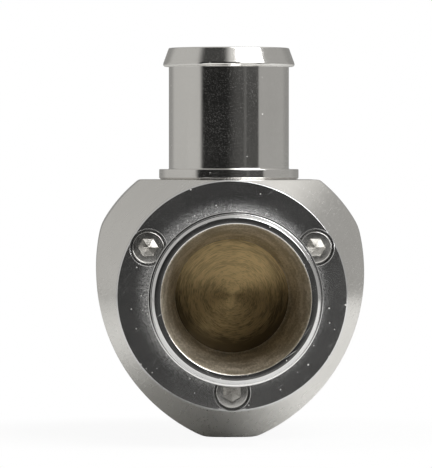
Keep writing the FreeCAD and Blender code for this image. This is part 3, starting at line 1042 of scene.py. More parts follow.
@dataclass(frozen=True)
class FlangeMetal(TurnedMetal):
    """The flange's polish, with a duller wall inside the nipple whose brown tones paint the brass piston's reflection
    and the shade in the bore.
    """

    reflected_brass_dark_tone: Colour = (0.33, 0.29, 0.22)
    reflected_brass_pale_tone: Colour = (0.74, 0.68, 0.58)
    wall_radius: float = 15.3
    root_radius: float = 17.4

    def layers(self, sheet: Sheet, effects: Effects) -> Layers:
        """Adds the inner wall's painted brass reflection and shade to the polish.

        Args:
            sheet: The material's tree.
            effects: The shared shader groups.

        Returns:
            The tone, roughness, height and metalness.
        """
        layers = super().layers(sheet, effects)
        place = self.place(sheet)
        radius = radius_of(sheet, place)
        # Painted reflection and shade: inside the nipple the wall takes dark and pale brown tones for the brass
        # piston's reflection and the bore's shade, mottled by a drawn grain.
        inside = sheet.between(radius, self.wall_radius, self.wall_radius - 0.12)
        drawn = sheet.value("ShaderNodeMapping", {"Vector": place, "Scale": (1.0, 0.13, 1.0)})
        grain = sheet.noise(drawn, 2300.0, 4.0, 0.85)
        cloud = self.apply(sheet, effects.haze, Vector=place, Scale=160.0)
        pale_flecks = sheet.between(grain * 0.8 + cloud * 0.2, 0.38, 0.66)
        painted_brass_reflection = sheet.mixed(pale_flecks, solid(self.reflected_brass_dark_tone), solid(self.reflected_brass_pale_tone))
        layers.tone = sheet.mixed(inside, layers.tone, painted_brass_reflection)
        layers.rough = layers.rough + inside * (grain * 0.3 + 0.28 - layers.rough)
        layers.height = layers.height + inside * grain * 30.0
        layers.metallic = layers.metallic - inside * 0.33
        # Real fine dust over the face, with a pale ring of painted glow round the nipple's root.
        self.cover(sheet, layers, self.dust_and_painted_glow(sheet, place, radius), 1.0)
        return layers

    def dust_and_painted_glow(self, sheet: Sheet, place: Wire, radius: Wire) -> Wire:
        """Fine dust on the face, growing into a thick pale ring round the nipple's root that paints a glow of
        reflected light.

        Args:
            sheet: The material's tree.
            place: The surface's place.
            radius: The distance from the bore's axis in millimetres.

        Returns:
            The mask of the dust and of the painted glow.
        """
        _, depth, _ = sheet.split(place)
        # Painted glow: the pale matt cover grows thick near the nipple's root to stand for light reflected there.
        glow_ring = sheet.between(radius, 21.5, self.root_radius)
        grain = sheet.noise(place, 2100.0, 3.0, 0.7)
        on_face = depth.math("GREATER_THAN", -1.0 * MM)
        return sheet.between(grain, 0.3, 0.75) * on_face * (glow_ring * glow_ring * 0.45 + 0.04)


@dataclass(frozen=True)
class CrownMetal(TurnedMetal):
    """The piston's brass: coarse lathe rings, brown smears along them, and painted shade that darkens the crown
    towards its rim and its lower side.
    """

    stain_and_shade_tone: Colour = (0.2, 0.15, 0.08)
    crown_radius: float = 11.75

    def layers(self, sheet: Sheet, effects: Effects) -> Layers:
        """Adds the smears, the coarse rings and painted shade at the rim and the lower side to the turned brass.

        Args:
            sheet: The material's tree.
            effects: The shared shader groups.

        Returns:
            The tone, roughness, height and metalness.
        """
        layers = super().layers(sheet, effects)
        place = self.place(sheet)
        radius = radius_of(sheet, place)
        broad = self.arcs(sheet, place, radius, 1.5, 0.9)
        fine = self.arcs(sheet, place, radius, 5.0, 7.0)
        _, _, height = sheet.split(place)
        # Painted shade: the crown's tone darkens towards its rim and towards its lower side (low), mixed with the
        # real brown smears into one dark brown.
        painted_rim_shade = sheet.between(radius, self.crown_radius - 4.0, self.crown_radius)
        low = sheet.between(height / MM, self.crown_radius * 0.5, -self.crown_radius)
        smear = sheet.between(broad * 0.45 + fine * 0.55, 0.41, 0.56)
        smear_and_painted_shade = (smear.flipped() * 0.55 + painted_rim_shade * 0.25 + low * (painted_rim_shade * 0.6 + 0.4)).clamped()
        layers.tone = sheet.mixed(smear_and_painted_shade, layers.tone, solid(self.stain_and_shade_tone))
        layers.rough = layers.rough + smear * 0.06
        layers.height = layers.height + fine * 2.0
        return layers

    def arcs(self, sheet: Sheet, place: Wire, radius: Wire, around: float, across: float) -> Wire:
        """Noise drawn out along the lathe's rings.

        Args:
            sheet: The material's tree.
            place: The surface's place.
            radius: The distance from the bore's axis in millimetres.
            around: How often it changes round a ring.
            across: How often it changes from ring to ring, per millimetre.

        Returns:
            The noise.
        """
        x, _, z = sheet.split(place)
        share = radius.math("MAXIMUM", 0.05) * (MM / around)
        polar = sheet.joined(x / share, z / share, radius * across)
        return sheet.noise(polar, 1.0, 3.0, 0.6)


@dataclass(frozen=True)
class SoftStuff(Finish):
    """Rubber and plastic: a moulded grain, a little bloom and no shine."""

    grain: float = 2600.0

    def layers(self, sheet: Sheet, effects: Effects) -> Layers:
        """Adds up the haze and the grain.

        Args:
            sheet: The material's tree.
            effects: The shared shader groups.

        Returns:
            The tone, roughness, height and metalness.
        """
        place = self.place(sheet)
        haze = self.apply(sheet, effects.haze, Vector=place, Scale=220.0)
        grain = sheet.noise(place, self.grain, 2.0)
        tone = sheet.mixed(haze, solid(self.dark_tone), solid(self.tone))
        return Layers(tone, grain * self.rough_spread + self.roughness, grain, self.metallic)


class Slot(Enum):
    """The record's material slots, each with its finish."""

    BODY = ("body_aluminium", SatinBody(
        "satin_body", (0.84, 0.83, 0.81), (0.76, 0.75, 0.73), 0.2, 0.06, relief=0.004))
    FLANGE = ("flange_aluminium", FlangeMetal(
        "polished_flange", (0.84, 0.84, 0.84), (0.76, 0.76, 0.77), 0.1, 0.05, relief=0.0012, dust=0.3, scratch=0.16))
    NIPPLE = ("nipple_aluminium", TurnedMetal(
        "polished_nipple", (0.84, 0.83, 0.81), (0.78, 0.77, 0.75), 0.1, 0.05, relief=0.0012, dust=0.1, film=0.09,
        axis=Axis.OUTLET))
    CAP = ("cap_aluminium", TurnedMetal(
        "polished_cap", (0.84, 0.84, 0.84), (0.76, 0.76, 0.77), 0.16, 0.06, relief=0.002, dust=0.02, scratch=0.3))
    SCREW = ("screw_steel", PlainMetal("screw_steel", (0.8, 0.79, 0.77), (0.62, 0.61, 0.59), 0.22, 0.1, relief=0.004))
    PISTON = ("piston_brass", CrownMetal(
        "piston_brass", (0.94, 0.74, 0.4), (0.68, 0.51, 0.26), 0.43, 0.08, relief=0.012, pitch=0.3, anisotropy=0.97,
        worn_tone=(0.93, 0.76, 0.48)))
    FITTING = ("fitting_brass", TurnedMetal(
        "fitting_brass", (0.78, 0.6, 0.31), (0.66, 0.48, 0.24), 0.22, 0.08, relief=0.003, pitch=0.18,
        worn_tone=(0.86, 0.74, 0.5)))
    WASHER_SOFT = ("washer_aluminium", PlainMetal("soft_washer", (0.78, 0.78, 0.78), (0.66, 0.66, 0.66), 0.34, 0.1))
    SPRING = ("spring_steel", PlainMetal(
        "spring_steel", (0.42, 0.42, 0.44), (0.3, 0.3, 0.32), 0.3, 0.12, grain=2200.0))
    WASHER = ("washer_steel", PlainMetal("ground_washer", (0.62, 0.62, 0.62), (0.5, 0.5, 0.5), 0.28, 0.1))
    BAND = ("band_plastic", SoftStuff(
        "band_plastic", (0.72, 0.7, 0.62), (0.64, 0.61, 0.53), 0.42, 0.15, metallic=0.0, relief=0.006))
    RUBBER = ("seal_rubber", SoftStuff(
        "seal_rubber", (0.024, 0.024, 0.025), (0.014, 0.014, 0.015), 0.42, 0.2, metallic=0.0, relief=0.004))

    @property
    def slot(self) -> str:
        """The slot's name in the record."""
        return self.value[0]

    @property
    def finish(self) -> Finish:
        """The slot's finish."""
        return self.value[1]


# The workshop that the sub-assemblies share


class Workshop:
    """The frame, the finishes and the geometry groups that every sub-assembly uses."""

    def __init__(self, frame: dict) -> None:
        """Makes the shared groups and materials.
        """
        self.nodes: dict[str, Piece] = frame["nodes"]
        effects = Effects()
        self.materials = {slot: slot.finish.material(effects) for slot in Slot}
        self.swept_ring = swept_ring_group()
        self.coil = coil_group()
        self.screw_circle = screw_circle_group()
        self.barb_row = barb_row_group()
        self.lobed_blank = lobed_blank_group()

    def dress(self, piece: Piece, slot: Slot) -> None:
        """Gives a piece its one material.

        Args:
            piece: A new piece or a CAD node.
            slot: The material slot.
        """
        piece.data.materials.clear()
        piece.data.materials.append(self.materials[slot])

    def mount(self, piece: Piece, slot: Slot, body: str, *nodes: str) -> Piece:
        """Dresses a finished piece, sets it on its body and puts it in place of CAD nodes.

        Args:
            piece: The finished piece.
            slot: Its material slot.
            body: The CAD body that it moves with.
            *nodes: The CAD nodes that it stands for.

        Returns:
            The piece.
        """
        self.dress(piece, slot)
        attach(piece, body)
        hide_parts(*nodes)
        slot.slot
        LOG.info("%s stands for %s on %s, %d faces", piece.name, ", ".join(nodes), body, len(piece.data.polygons))
        return piece

    def keep(self, node: str, slot: Slot) -> None:
        """Leaves a CAD node in place with a better material.

        Args:
            node: The node's name.
            slot: Its material slot.
        """
        piece = self.nodes[node]
        self.dress(piece, slot)
        slot.slot
        LOG.info("%s keeps its CAD shape", node)

    def ring(self, name: str, radius: float, across: float, along: float, depth: float, body: str, node: str) -> None:
        """Makes a seal ring in place of its CAD node.

        Args:
            name: The piece's name.
            radius: The ring's middle radius.
            across: The section's size square to the axis.
            along: The section's size along the axis.
            depth: Where its middle lies along the bore.
            body: The CAD body that it moves with.
            node: The CAD node that it stands for.
        """
        piece = grown(empty_piece(name), self.swept_ring, {
            "Ring Radius": radius * MM, "Section Across": across * MM, "Section Along": along * MM,
            "Depth": depth * MM, "Material": self.materials[Slot.RUBBER],
        })
        self.mount(shaded(piece, 60.0), Slot.RUBBER, body, node)


HOUSING = "housing"
PISTON_BODY = "piston_assembly"
FIRST_SCREW = 30.0


def screw_places() -> list[Point]:
    """Centre (x, z) of each screw on the screw circle."""
    angles = [math.radians(FIRST_SCREW + 360.0 * i / SCREW_COUNT) for i in range(SCREW_COUNT)]
    return [(SCREW_CIRCLE * math.cos(a), SCREW_CIRCLE * math.sin(a)) for a in angles]


def stepped_cutter(stations: Profile, at: Point = (0.0, 0.0), axis: Axis = Axis.BORE,
                   segments: int = 64) -> Piece:
    """A closed cutter turned from (along, out) stations, with its ends closed on the axis.

    Args:
        stations: The cutter's wall, from one end to the other.
        at: Where its axis stands beside the bore's axis.
        axis: The axis that it is turned about.
        segments: Steps round the axis.

    Returns:
        The cutter.
    """
    profile = [(stations[0][0], 0.0), *stations, (stations[-1][0], 0.0)]
    return turned("cutter", profile, axis, False, segments, at)


def counterbores(face: float, back: float) -> list[Piece]:
    """Counterbores with broken edges and through holes for one face's screws, as cutters.

    Args:
        face: Where the face that they open on lies.
        back: Where the piece's other face lies.

    Returns:
        The cutters.
    """
    inward = math.copysign(1.0, back - face)
    seat, over = face + inward * COUNTERBORE_DEPTH, 0.02
    stations = [
        (face - inward * over, COUNTERBORE_RADIUS + EDGE_BREAK + over), (face, COUNTERBORE_RADIUS + EDGE_BREAK),
        (face + inward * EDGE_BREAK, COUNTERBORE_RADIUS), (seat, COUNTERBORE_RADIUS),
        (seat, CLEARANCE_RADIUS), (back + inward, CLEARANCE_RADIUS),
    ]
    return [stepped_cutter(stations, at) for at in screw_places()]


@dataclass
class ScrewSet:
    """Three socket head cap screws that one face holds."""

    node: str
    seat: float
    facing: float
    head_radius: float = 3.43
    head_height: float = 4.1
    shank_radius: float = 2.08
    shank_length: float = 9.5
    socket_flats: float = 3.57
    socket_depth: float = 2.2
    socket_tip: float = 1.15

    def build(self, shop: Workshop) -> Piece:
        """Makes one screw and sets three of it round the screw circle.

        Args:
            shop: The shared workshop.

        Returns:
            The finished piece.
        """
        top = -self.head_height
        profile = [
            (top, 0.0), (top, self.head_radius - 0.28, 0.1), (top + 0.3, self.head_radius, 0.12),
            (-0.12, self.head_radius, 0.1), (0.0, self.head_radius - 0.12), (0.0, self.shank_radius, 0.2),
            (self.shank_length - 0.4, self.shank_radius), (self.shank_length, self.shank_radius - 0.4),
            (self.shank_length, 0.0),
        ]
        screw = turned("screw_form", softened(profile, closed=False, steps=3), closed=False, segments=72)
        combined(screw, [self.socket()])
        shaded(screw, 28.0)
        piece = grown(empty_piece(self.node.replace("screws", "screw_set")), shop.screw_circle, {
            "Screw": screw, "Count": SCREW_COUNT, "Circle Radius": SCREW_CIRCLE * MM,
            "First Angle": math.radians(FIRST_SCREW), "Depth": self.seat * MM, "Turned Screw": 2.0,
            "Extra Turn": math.radians(30.0), "Facing": self.facing, "Material": shop.materials[Slot.SCREW],
        })
        bpy.data.objects.remove(screw)
        return shop.mount(piece, Slot.SCREW, HOUSING, self.node)

    def socket(self) -> Piece:
        """The hexagonal socket with a small countersink and a drilled bottom, as a cutter.

        Returns:
            The cutter.
        """
        shape = bmesh.new()
        top, reach = -self.head_height, self.socket_flats / math.sqrt(3)
        floor = top + self.socket_depth
        levels = [(top - 0.3, reach + 0.42), (top - 0.02, reach + 0.14), (top + 0.16, reach), (floor, reach)]
        rings = []
        for depth, radius in levels:
            turns = [math.radians(60 * i) for i in range(6)]
            rings.append([shape.verts.new(placed(Axis.BORE, depth, radius, turn)) for turn in turns])
        tip = shape.verts.new(placed(Axis.BORE, floor + self.socket_tip, 0.0, 0.0))
        shape.faces.new(rings[0])
        for first, second in zip(rings, rings[1:]):
            for i in range(6):
                k = (i + 1) % 6
                shape.faces.new((first[i], first[k], second[k], second[i]))
        for i in range(6):
            shape.faces.new((rings[-1][i], rings[-1][(i + 1) % 6], tip))
        return formed("socket", shape)


@dataclass
class ValveBody:
    """The three-lobed body with its bore, gallery, outlet port and tapped holes."""

    gallery_radius: float = 17.2
    gallery_front: float = 10.0
    gallery_rear: float = 34.0
    top_flat: float = 24.0
    port_radius: float = 10.0
    shoulder_angle: float = 40.0
    bar_radius: float = 30.5

    def build(self, shop: Workshop) -> None:
        """Makes the blank by its rule and cuts it.

        Args:
            shop: The shared workshop.
        """
        body = grown(empty_piece("lobed_body"), shop.lobed_blank, {
            "Face Radius": FACE_RADIUS, "Front": BODY_FRONT, "Rear": BODY_REAR, "Shoulder Angle": self.shoulder_angle,
            "Bar Radius": self.bar_radius, "Top Flat": self.top_flat, "Foot Flat": FOOT_FLAT, "Edge Break": 0.35,
            "Material": shop.materials[Slot.BODY],
        })
        self.close_ends(body)
        combined(body, [self.bore(), self.port(), *self.tapped_holes()])
        shop.mount(shaded(body, 30.0), Slot.BODY, HOUSING, "valve_body")

    def close_ends(self, body: Piece) -> None:
        """Fills the blank's two open ends and points its faces outwards.

        Args:
            body: The blank.
        """
        shape = bmesh.new()
        shape.from_mesh(body.data)
        rims = [edge for edge in shape.edges if edge.is_boundary]
        bmesh.ops.holes_fill(shape, edges=rims, sides=0)
        bmesh.ops.recalc_face_normals(shape, faces=shape.faces)
        shape.to_mesh(body.data)
        shape.free()

    def bore(self) -> Piece:
        """The piston's bore and the gallery, as a cutter."""
        mouth = BORE_RADIUS + 0.3
        return stepped_cutter([
            (BODY_FRONT - 1, BORE_RADIUS), (self.gallery_front, BORE_RADIUS),
            (self.gallery_front, self.gallery_radius), (self.gallery_rear, self.gallery_radius),
            (self.gallery_rear, BORE_RADIUS),
            (BODY_REAR - 0.3, BORE_RADIUS), (BODY_REAR, mouth), (BODY_REAR + 1, mouth + 1),
        ], segments=160)

    def port(self) -> Piece:
        """The outlet's stepped port, as a cutter."""
        return stepped_cutter([
            (0.0, self.port_radius), (18.2, self.port_radius), (18.2, 12.25), (22.9, 12.25),
            (22.9, 13.5), (self.top_flat + 1, 13.5),
        ], axis=Axis.OUTLET, segments=160)

    def tapped_holes(self) -> list[Piece]:
        """The six blind screw holes, as cutters."""
        runs = ((BODY_FRONT - 1, BODY_FRONT + 7.5), (BODY_REAR - 8.5, BODY_REAR + 1))
        return [
            stepped_cutter([(start, THREAD_RADIUS), (end, THREAD_RADIUS)], at, segments=40)
            for at in screw_places() for start, end in runs
        ]


@dataclass
class InletFlange:
    """The round flange and inlet nipple, with its screws and its seal."""

    length: float = 28.0
    tube_radius: float = 16.0
    end_radius: float = 16.45
    rim_root: float = 17.2
    crest_radius: float = 17.7
    thickness: float = 8.0
    ring_radius: float = 16.375
    groove_half: float = 0.8
    groove_depth: float = 1.1

    def build(self, shop: Workshop) -> None:
        """Makes the flange, cuts its counterbores, and sets its screws and seal.

        Args:
            shop: The shared workshop.
        """
        flange = turned("flange_with_nipple", softened(self.profile()), segments=224)
        combined(flange, counterbores(0.0, self.thickness))
        shop.mount(shaded(flange), Slot.FLANGE, HOUSING, "inlet_flange")
        ScrewSet("inlet_flange_screws", COUNTERBORE_DEPTH, 0.0).build(shop)
        middle = self.thickness - self.groove_depth / 2
        shop.ring(
            "flange_face_seal", self.ring_radius, 1.4, self.groove_depth, middle, HOUSING, "inlet_flange_oring",
        )

    def profile(self) -> list[tuple]:
        """The flange's turned profile, with its roundings."""
        mouth = -self.length
        groove_in, groove_out = self.ring_radius - self.groove_half, self.ring_radius + self.groove_half
        groove_floor = self.thickness - self.groove_depth
        return [
            (mouth, 15.3, 0.06), (mouth + 0.3, 15.0, 0.1), (1.0, 11.75, 0.2), (2.0, 11.75, 0.06),
            (2.0, BORE_RADIUS), (self.thickness, BORE_RADIUS, 0.06),
            (self.thickness, groove_in), (groove_floor, groove_in), (groove_floor, groove_out),
            (self.thickness, groove_out),
            (self.thickness, FACE_RADIUS, 0.1), (0.3, FACE_RADIUS, 0.06), (0.0, FACE_RADIUS - 0.3, 0.06),
            (0.0, self.tube_radius, 0.25), (mouth + 3.95, self.tube_radius, 0.12),
            (mouth + 3.95, self.crest_radius - 0.3, 0.15), (mouth + 3.65, self.crest_radius, 0.2),
            (mouth + 2.75, self.crest_radius, 0.5), (mouth + 2.75, self.rim_root, 0.1),
            (mouth + 0.6, self.rim_root - 0.17, 0.12), (mouth, self.end_radius, 0.1),
        ]


@dataclass
class OutletNipple:
    """The outlet's hose nipple with its collar, spigot and seal."""

    tube_radius: float = 12.7
    bore_radius: float = 10.25
    collar_radius: float = 14.75
    collar_height: float = 2.2
    spigot_radius: float = 12.2
    flat: float = 24.0
    top: float = 51.8
    seal_depths: Point = (22.92, 23.98)
    seal_radii: Point = (12.32, 13.38)
    seal_soft: float = 0.45

    def build(self, shop: Workshop) -> None:
        """Makes the nipple and its seal.

        Args:
            shop: The shared workshop.
        """
        crest, foot = self.tube_radius + 1.2, self.flat - 5.4
        profile = [
            (foot, self.bore_radius, 0.1), (foot, self.spigot_radius, 0.3), (self.flat, self.spigot_radius),
            (self.flat, self.collar_radius - 0.36, 0.08), (self.flat + 0.36, self.collar_radius, 0.12),
            (self.flat + self.collar_height, self.collar_radius, 0.2),
            (self.flat + self.collar_height, self.tube_radius, 0.25),
            (self.top - 3.95, self.tube_radius, 0.12), (self.top - 3.95, crest - 0.3, 0.15),
            (self.top - 3.65, crest, 0.2), (self.top - 3.3, crest, 0.2), (self.top, self.tube_radius, 0.25),
            (self.top, self.bore_radius + 0.3, 0.06), (self.top - 0.3, self.bore_radius, 0.1),
        ]
        nipple = turned("outlet_hose_nipple", softened(profile), Axis.OUTLET, segments=192)
        shop.mount(shaded(nipple), Slot.NIPPLE, HOUSING, "outlet_nipple")
        (low, high), (inner, outer) = self.seal_depths, self.seal_radii
        corners = ((low, inner), (low, outer), (high, outer), (high, inner))
        section = softened([(*corner, self.seal_soft) for corner in corners])
        seal = turned("outlet_collar_seal", section, Axis.OUTLET, segments=128)
        shop.mount(shaded(seal, 60.0), Slot.RUBBER, HOUSING, "outlet_nipple_oring")


@dataclass
class PistonSet:
    """The piston, with its seals, bands and thrust washer."""

    front: float = 2.35
    skirt_radius: float = 14.8
    waist_radius: float = 14.0
    cup_radius: float = 10.8
    cup_floor: float = 6.55
    rear: float = 43.7
    band_seat: float = 14.05
    ring_seat: float = 13.15
    nose_radii: Point = (12.1, 13.4)
    nose_depth: float = 1.05
    groove_starts: tuple[float, ...] = (34.7, 37.7, 40.7)
    groove_width: float = 2.0

    def build(self, shop: Workshop) -> None:
        """Makes the piston and dresses what it carries.

        Args:
            shop: The shared workshop.
        """
        piston = turned("sliding_piston", softened(self.profile(), closed=False), closed=False, segments=192)
        shop.mount(shaded(piston, 28.0), Slot.PISTON, PISTON_BODY, "piston")
        shop.ring("piston_nose_seal", 12.75, 1.3, 1.3, 2.75, PISTON_BODY, "piston_nose_oring")
        shop.ring("piston_skirt_seal", 14.05, 1.78, 1.8, 38.7, PISTON_BODY, "piston_oring")
        shop.keep("piston_guide_band_front", Slot.BAND)
        shop.keep("piston_guide_band_rear", Slot.BAND)
        shop.keep("spring_thrust_washer", Slot.WASHER)

    def profile(self) -> list[tuple]:
        """The piston's turned profile, from the crown's middle to the cup's floor."""
        front, skirt = self.front, self.skirt_radius
        nose_floor, (nose_in, nose_out) = front + self.nose_depth, self.nose_radii
        grooves = []
        for start, seat in zip(self.groove_starts, (self.band_seat, self.ring_seat, self.band_seat)):
            end = start + self.groove_width
            grooves += [(start, skirt, 0.05), (start, seat), (end, seat), (end, skirt, 0.05)]
        return [
            (front + 0.75, 0.0), (front + 0.34, 6.4, 0.1), (front + 0.3, 6.42, 0.1), (front, 11.0, 0.3),
            (front, nose_in, 0.06), (nose_floor, nose_in), (nose_floor, nose_out), (front, nose_out, 0.06),
            (front, self.waist_radius, 0.2), (32.9, self.waist_radius, 0.4), (33.7, skirt, 0.2), *grooves,
            (self.rear, skirt, 0.2), (self.rear, self.cup_radius + 0.3, 0.1), (self.rear - 0.3, self.cup_radius, 0.1),
            (self.cup_floor, self.cup_radius, 0.3), (self.cup_floor, 0.0),
        ]


@dataclass
class ReturnSpring:
    """The return spring and its shims; the spring is wound at one length and is not shortened as the piston opens."""

    radius: float = 9.0
    wire: float = 1.6
    front: float = 7.35
    rear: float = 54.7
    stroke: float = 12.0

    def build(self, shop: Workshop) -> None:
        """Winds the spring and dresses its shims.

        Args:
            shop: The shared workshop.
        """
        spring = grown(empty_piece("wound_return_spring"), shop.coil, {
            "Coil Radius": self.radius * MM, "Wire Radius": self.wire / 2 * MM, "Active Turns": 5.0,
            "Front": self.front * MM, "Rear": self.rear * MM, "Closed Rise": self.wire * 1.04 * MM,
            "Material": shop.materials[Slot.SPRING],
        })
        shop.mount(shaded(spring, 50.0), Slot.SPRING, HOUSING, "return_spring")
        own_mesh(spring)
        shop.keep("spring_preload_shims", Slot.WASHER)


@dataclass
class RearCap:
    """The rear cap, with its screws, its seal and the bump stop ring."""

    thickness: float = 7.0
    boss_radius: float = 7.3
    boss_length: float = 6.0
    thread_radius: float = 4.05

    def build(self, shop: Workshop) -> None:
        """Makes the cap, cuts its counterbores, and sets its screws and rings.

        Args:
            shop: The shared workshop.
        """
        front = BODY_REAR
        profile = [
            (front - self.boss_length, self.thread_radius, 0.1), (front - self.boss_length, self.boss_radius, 0.4),
            (front, self.boss_radius), (front, 11.9, 0.05), (front + 1.3, 11.9), (front + 1.3, 13.7),
            (front, 13.7, 0.05), (front, 15.575), (front + 1.1, 15.575), (front + 1.1, 17.175), (front, 17.175),
            (front, FACE_RADIUS, 0.1), (CAP_REAR - 0.3, FACE_RADIUS, 0.06), (CAP_REAR, FACE_RADIUS - 0.3, 0.06),
            (CAP_REAR, self.thread_radius, 0.1),
        ]
        cap = turned("round_rear_cap", softened(profile), segments=224)
        combined(cap, counterbores(CAP_REAR, BODY_REAR))
        shop.mount(shaded(cap), Slot.CAP, HOUSING, "rear_cap")
        ScrewSet("rear_cap_screws", CAP_REAR - COUNTERBORE_DEPTH, math.pi).build(shop)
        shop.ring("cap_face_seal", 16.375, 1.4, 1.1, front + 0.55, HOUSING, "rear_cap_oring")
        shop.ring("bump_stop", 12.8, 1.78, 1.8, front + 0.4, HOUSING, "bump_stop_ring")


@dataclass
class VacuumFitting:
    """The brass vacuum hose fitting and its sealing washer."""

    front: float = 50.6
    washer: float = 1.0
    washer_radii: Point = (4.05, 6.6)
    hex_flats: float = 12.0
    hex_height: float = 3.5
    thread_radius: float = 4.0
    bore_radius: float = 1.3
    tube_radius: float = 2.3
    barb_radius: float = 3.0
    barb_pitch: float = 3.2
    barb_count: int = 3
    neck: float = 3.0

    def build(self, shop: Workshop) -> None:
        """Makes the fitting with its barbs, and its washer.

        Args:
            shop: The shared workshop.
        """
        hex_front = CAP_REAR + self.washer
        hex_rear = hex_front + self.hex_height
        first_barb = hex_rear + self.neck
        end = first_barb + self.barb_count * self.barb_pitch
        stem = turned("vacuum_hose_fitting", softened([
            (self.front, self.bore_radius, 0.1), (self.front, self.thread_radius, 0.4),
            (hex_rear - 1, self.thread_radius),
            (hex_rear - 1, self.tube_radius), (end, self.tube_radius, 0.12), (end, self.bore_radius, 0.12),
        ]), segments=96)
        combined(stem, [self.nut(hex_front, hex_rear)], "UNION")
        shaded(stem, 30.0)
        barb = turned("barb", softened([
            (0.0, self.tube_radius - 0.1), (0.0, self.barb_radius, 0.08),
            (self.barb_pitch - 0.02, self.tube_radius + 0.02), (self.barb_pitch - 0.02, self.tube_radius - 0.1),
        ]), segments=96)
        shaded(barb, 30.0)
        grown(stem, shop.barb_row, {
            "Barb": barb, "Count": self.barb_count, "Pitch": self.barb_pitch * MM, "First Depth": first_barb * MM,
            "Material": shop.materials[Slot.FITTING],
        })
        bpy.data.objects.remove(barb)
        shop.mount(stem, Slot.FITTING, HOUSING, "vacuum_nipple")
        inner, outer = self.washer_radii
        washer = turned("vacuum_seal_washer", softened([
            (CAP_REAR, inner), (CAP_REAR, outer, 0.12), (hex_front, outer, 0.12), (hex_front, inner),
        ]), segments=96)
        shop.mount(shaded(washer), Slot.WASHER_SOFT, HOUSING, "vacuum_nipple_washer")

    def nut(self, front: float, rear: float) -> Piece:
        """The hexagon with its turned bevel.

        Args:
            front: Where it starts.
            rear: Where it ends.

        Returns:
            The hexagon as a closed mesh with the fitting's bore through it.
        """
        reach = self.hex_flats / math.sqrt(3)
        hexagon = turned("hexagon", [
            (front, 2.0), (front, reach), (rear, reach), (rear, 2.0),
        ], segments=6)
        bevel = reach - self.hex_flats / 2 + 0.1
        envelope = turned("envelope", softened([
            (front - 0.5, 1.9), (front - 0.5, reach - 0.4), (front + 0.25, reach + 0.02),
            (rear - bevel, reach + 0.02), (rear, self.hex_flats / 2 - 0.15), (rear + 0.5, self.hex_flats / 2 - 0.5),
            (rear + 0.5, 1.9),
        ], steps=3), segments=96)
        return combined(hexagon, [envelope], "INTERSECT")


# Studio


@dataclass(frozen=True)
class Panel:
    """A soft-edged rectangle on the studio's walls, seen from the object.

    Attributes:
        right: Where its middle lies, in degrees to the right of the way to the camera.
        up: Where its middle lies above the horizon, in degrees.
        half_width: Half its width in degrees.
        half_height: Half its height in degrees.
        soft: How far its edges fade, in degrees.
        level: Its brightness, where 1 is white.
        soft_left: How far its left edge fades, where that differs.
    """

    right: float
    up: float
    half_width: float
    half_height: float
    soft: float
    level: float
    soft_left: float = 0.0

    def share(self, sheet: Sheet, facing: tuple[Wire, Wire, Wire]) -> Wire:
        """How much of the panel lies in a direction.

        Args:
            sheet: The world's tree.
            facing: The direction's x, y and z.

        Returns:
            The share, from 0 to 1.
        """
        middle = Vector(bearing(self.right, self.up))
        side = Vector((0.0, 0.0, 1.0)).cross(middle).normalized()
        top = middle.cross(side)
        ahead, across, above = (
            facing[0] * axis.x + facing[1] * axis.y + facing[2] * axis.z for axis in (middle, side, top)
        )
        result = ahead.math("GREATER_THAN", 0.0)
        edges = (
            (across, self.half_width, self.soft), (across * -1.0, self.half_width, self.soft_left or self.soft),
            (above, self.half_height, self.soft), (above * -1.0, self.half_height, self.soft),
        )
        for offset, half, soft in edges:
            outer, inner = math.tan(math.radians(half + soft / 2)), math.tan(math.radians(half - soft / 2))
            result = result * sheet.between(offset / ahead.math("MAXIMUM", 0.001), outer, inner)
        return result


def bearing(right: float, up: float) -> tuple[float, float, float]:
    """A direction from the object, from angles right of and above the way to the camera.

    Args:
        right: Degrees to the right.
        up: Degrees above the horizon.

    Returns:
        The direction.
    """
    a, e = math.radians(right), math.radians(up)
    return (math.sin(a) * math.cos(e), -math.cos(a) * math.cos(e), math.sin(e))


def finish_tree(sheet: Sheet, kind: str, share: Wire, first: bpy.types.Node, second: bpy.types.Node) -> None:
    """Mixes two shaders and gives the mixture out as the tree's surface.

    Args:
        sheet: The tree.
        kind: The output node's type.
        share: How much of the second shader.
        first: The first shader.
        second: The second shader.
    """
    both = sheet.node("ShaderNodeMixShader", {0: share, 1: first.outputs[0], 2: second.outputs[0]})
    end = sheet.node(kind)
    sheet.tree.links.new(both.outputs[0], end.inputs["Surface"])


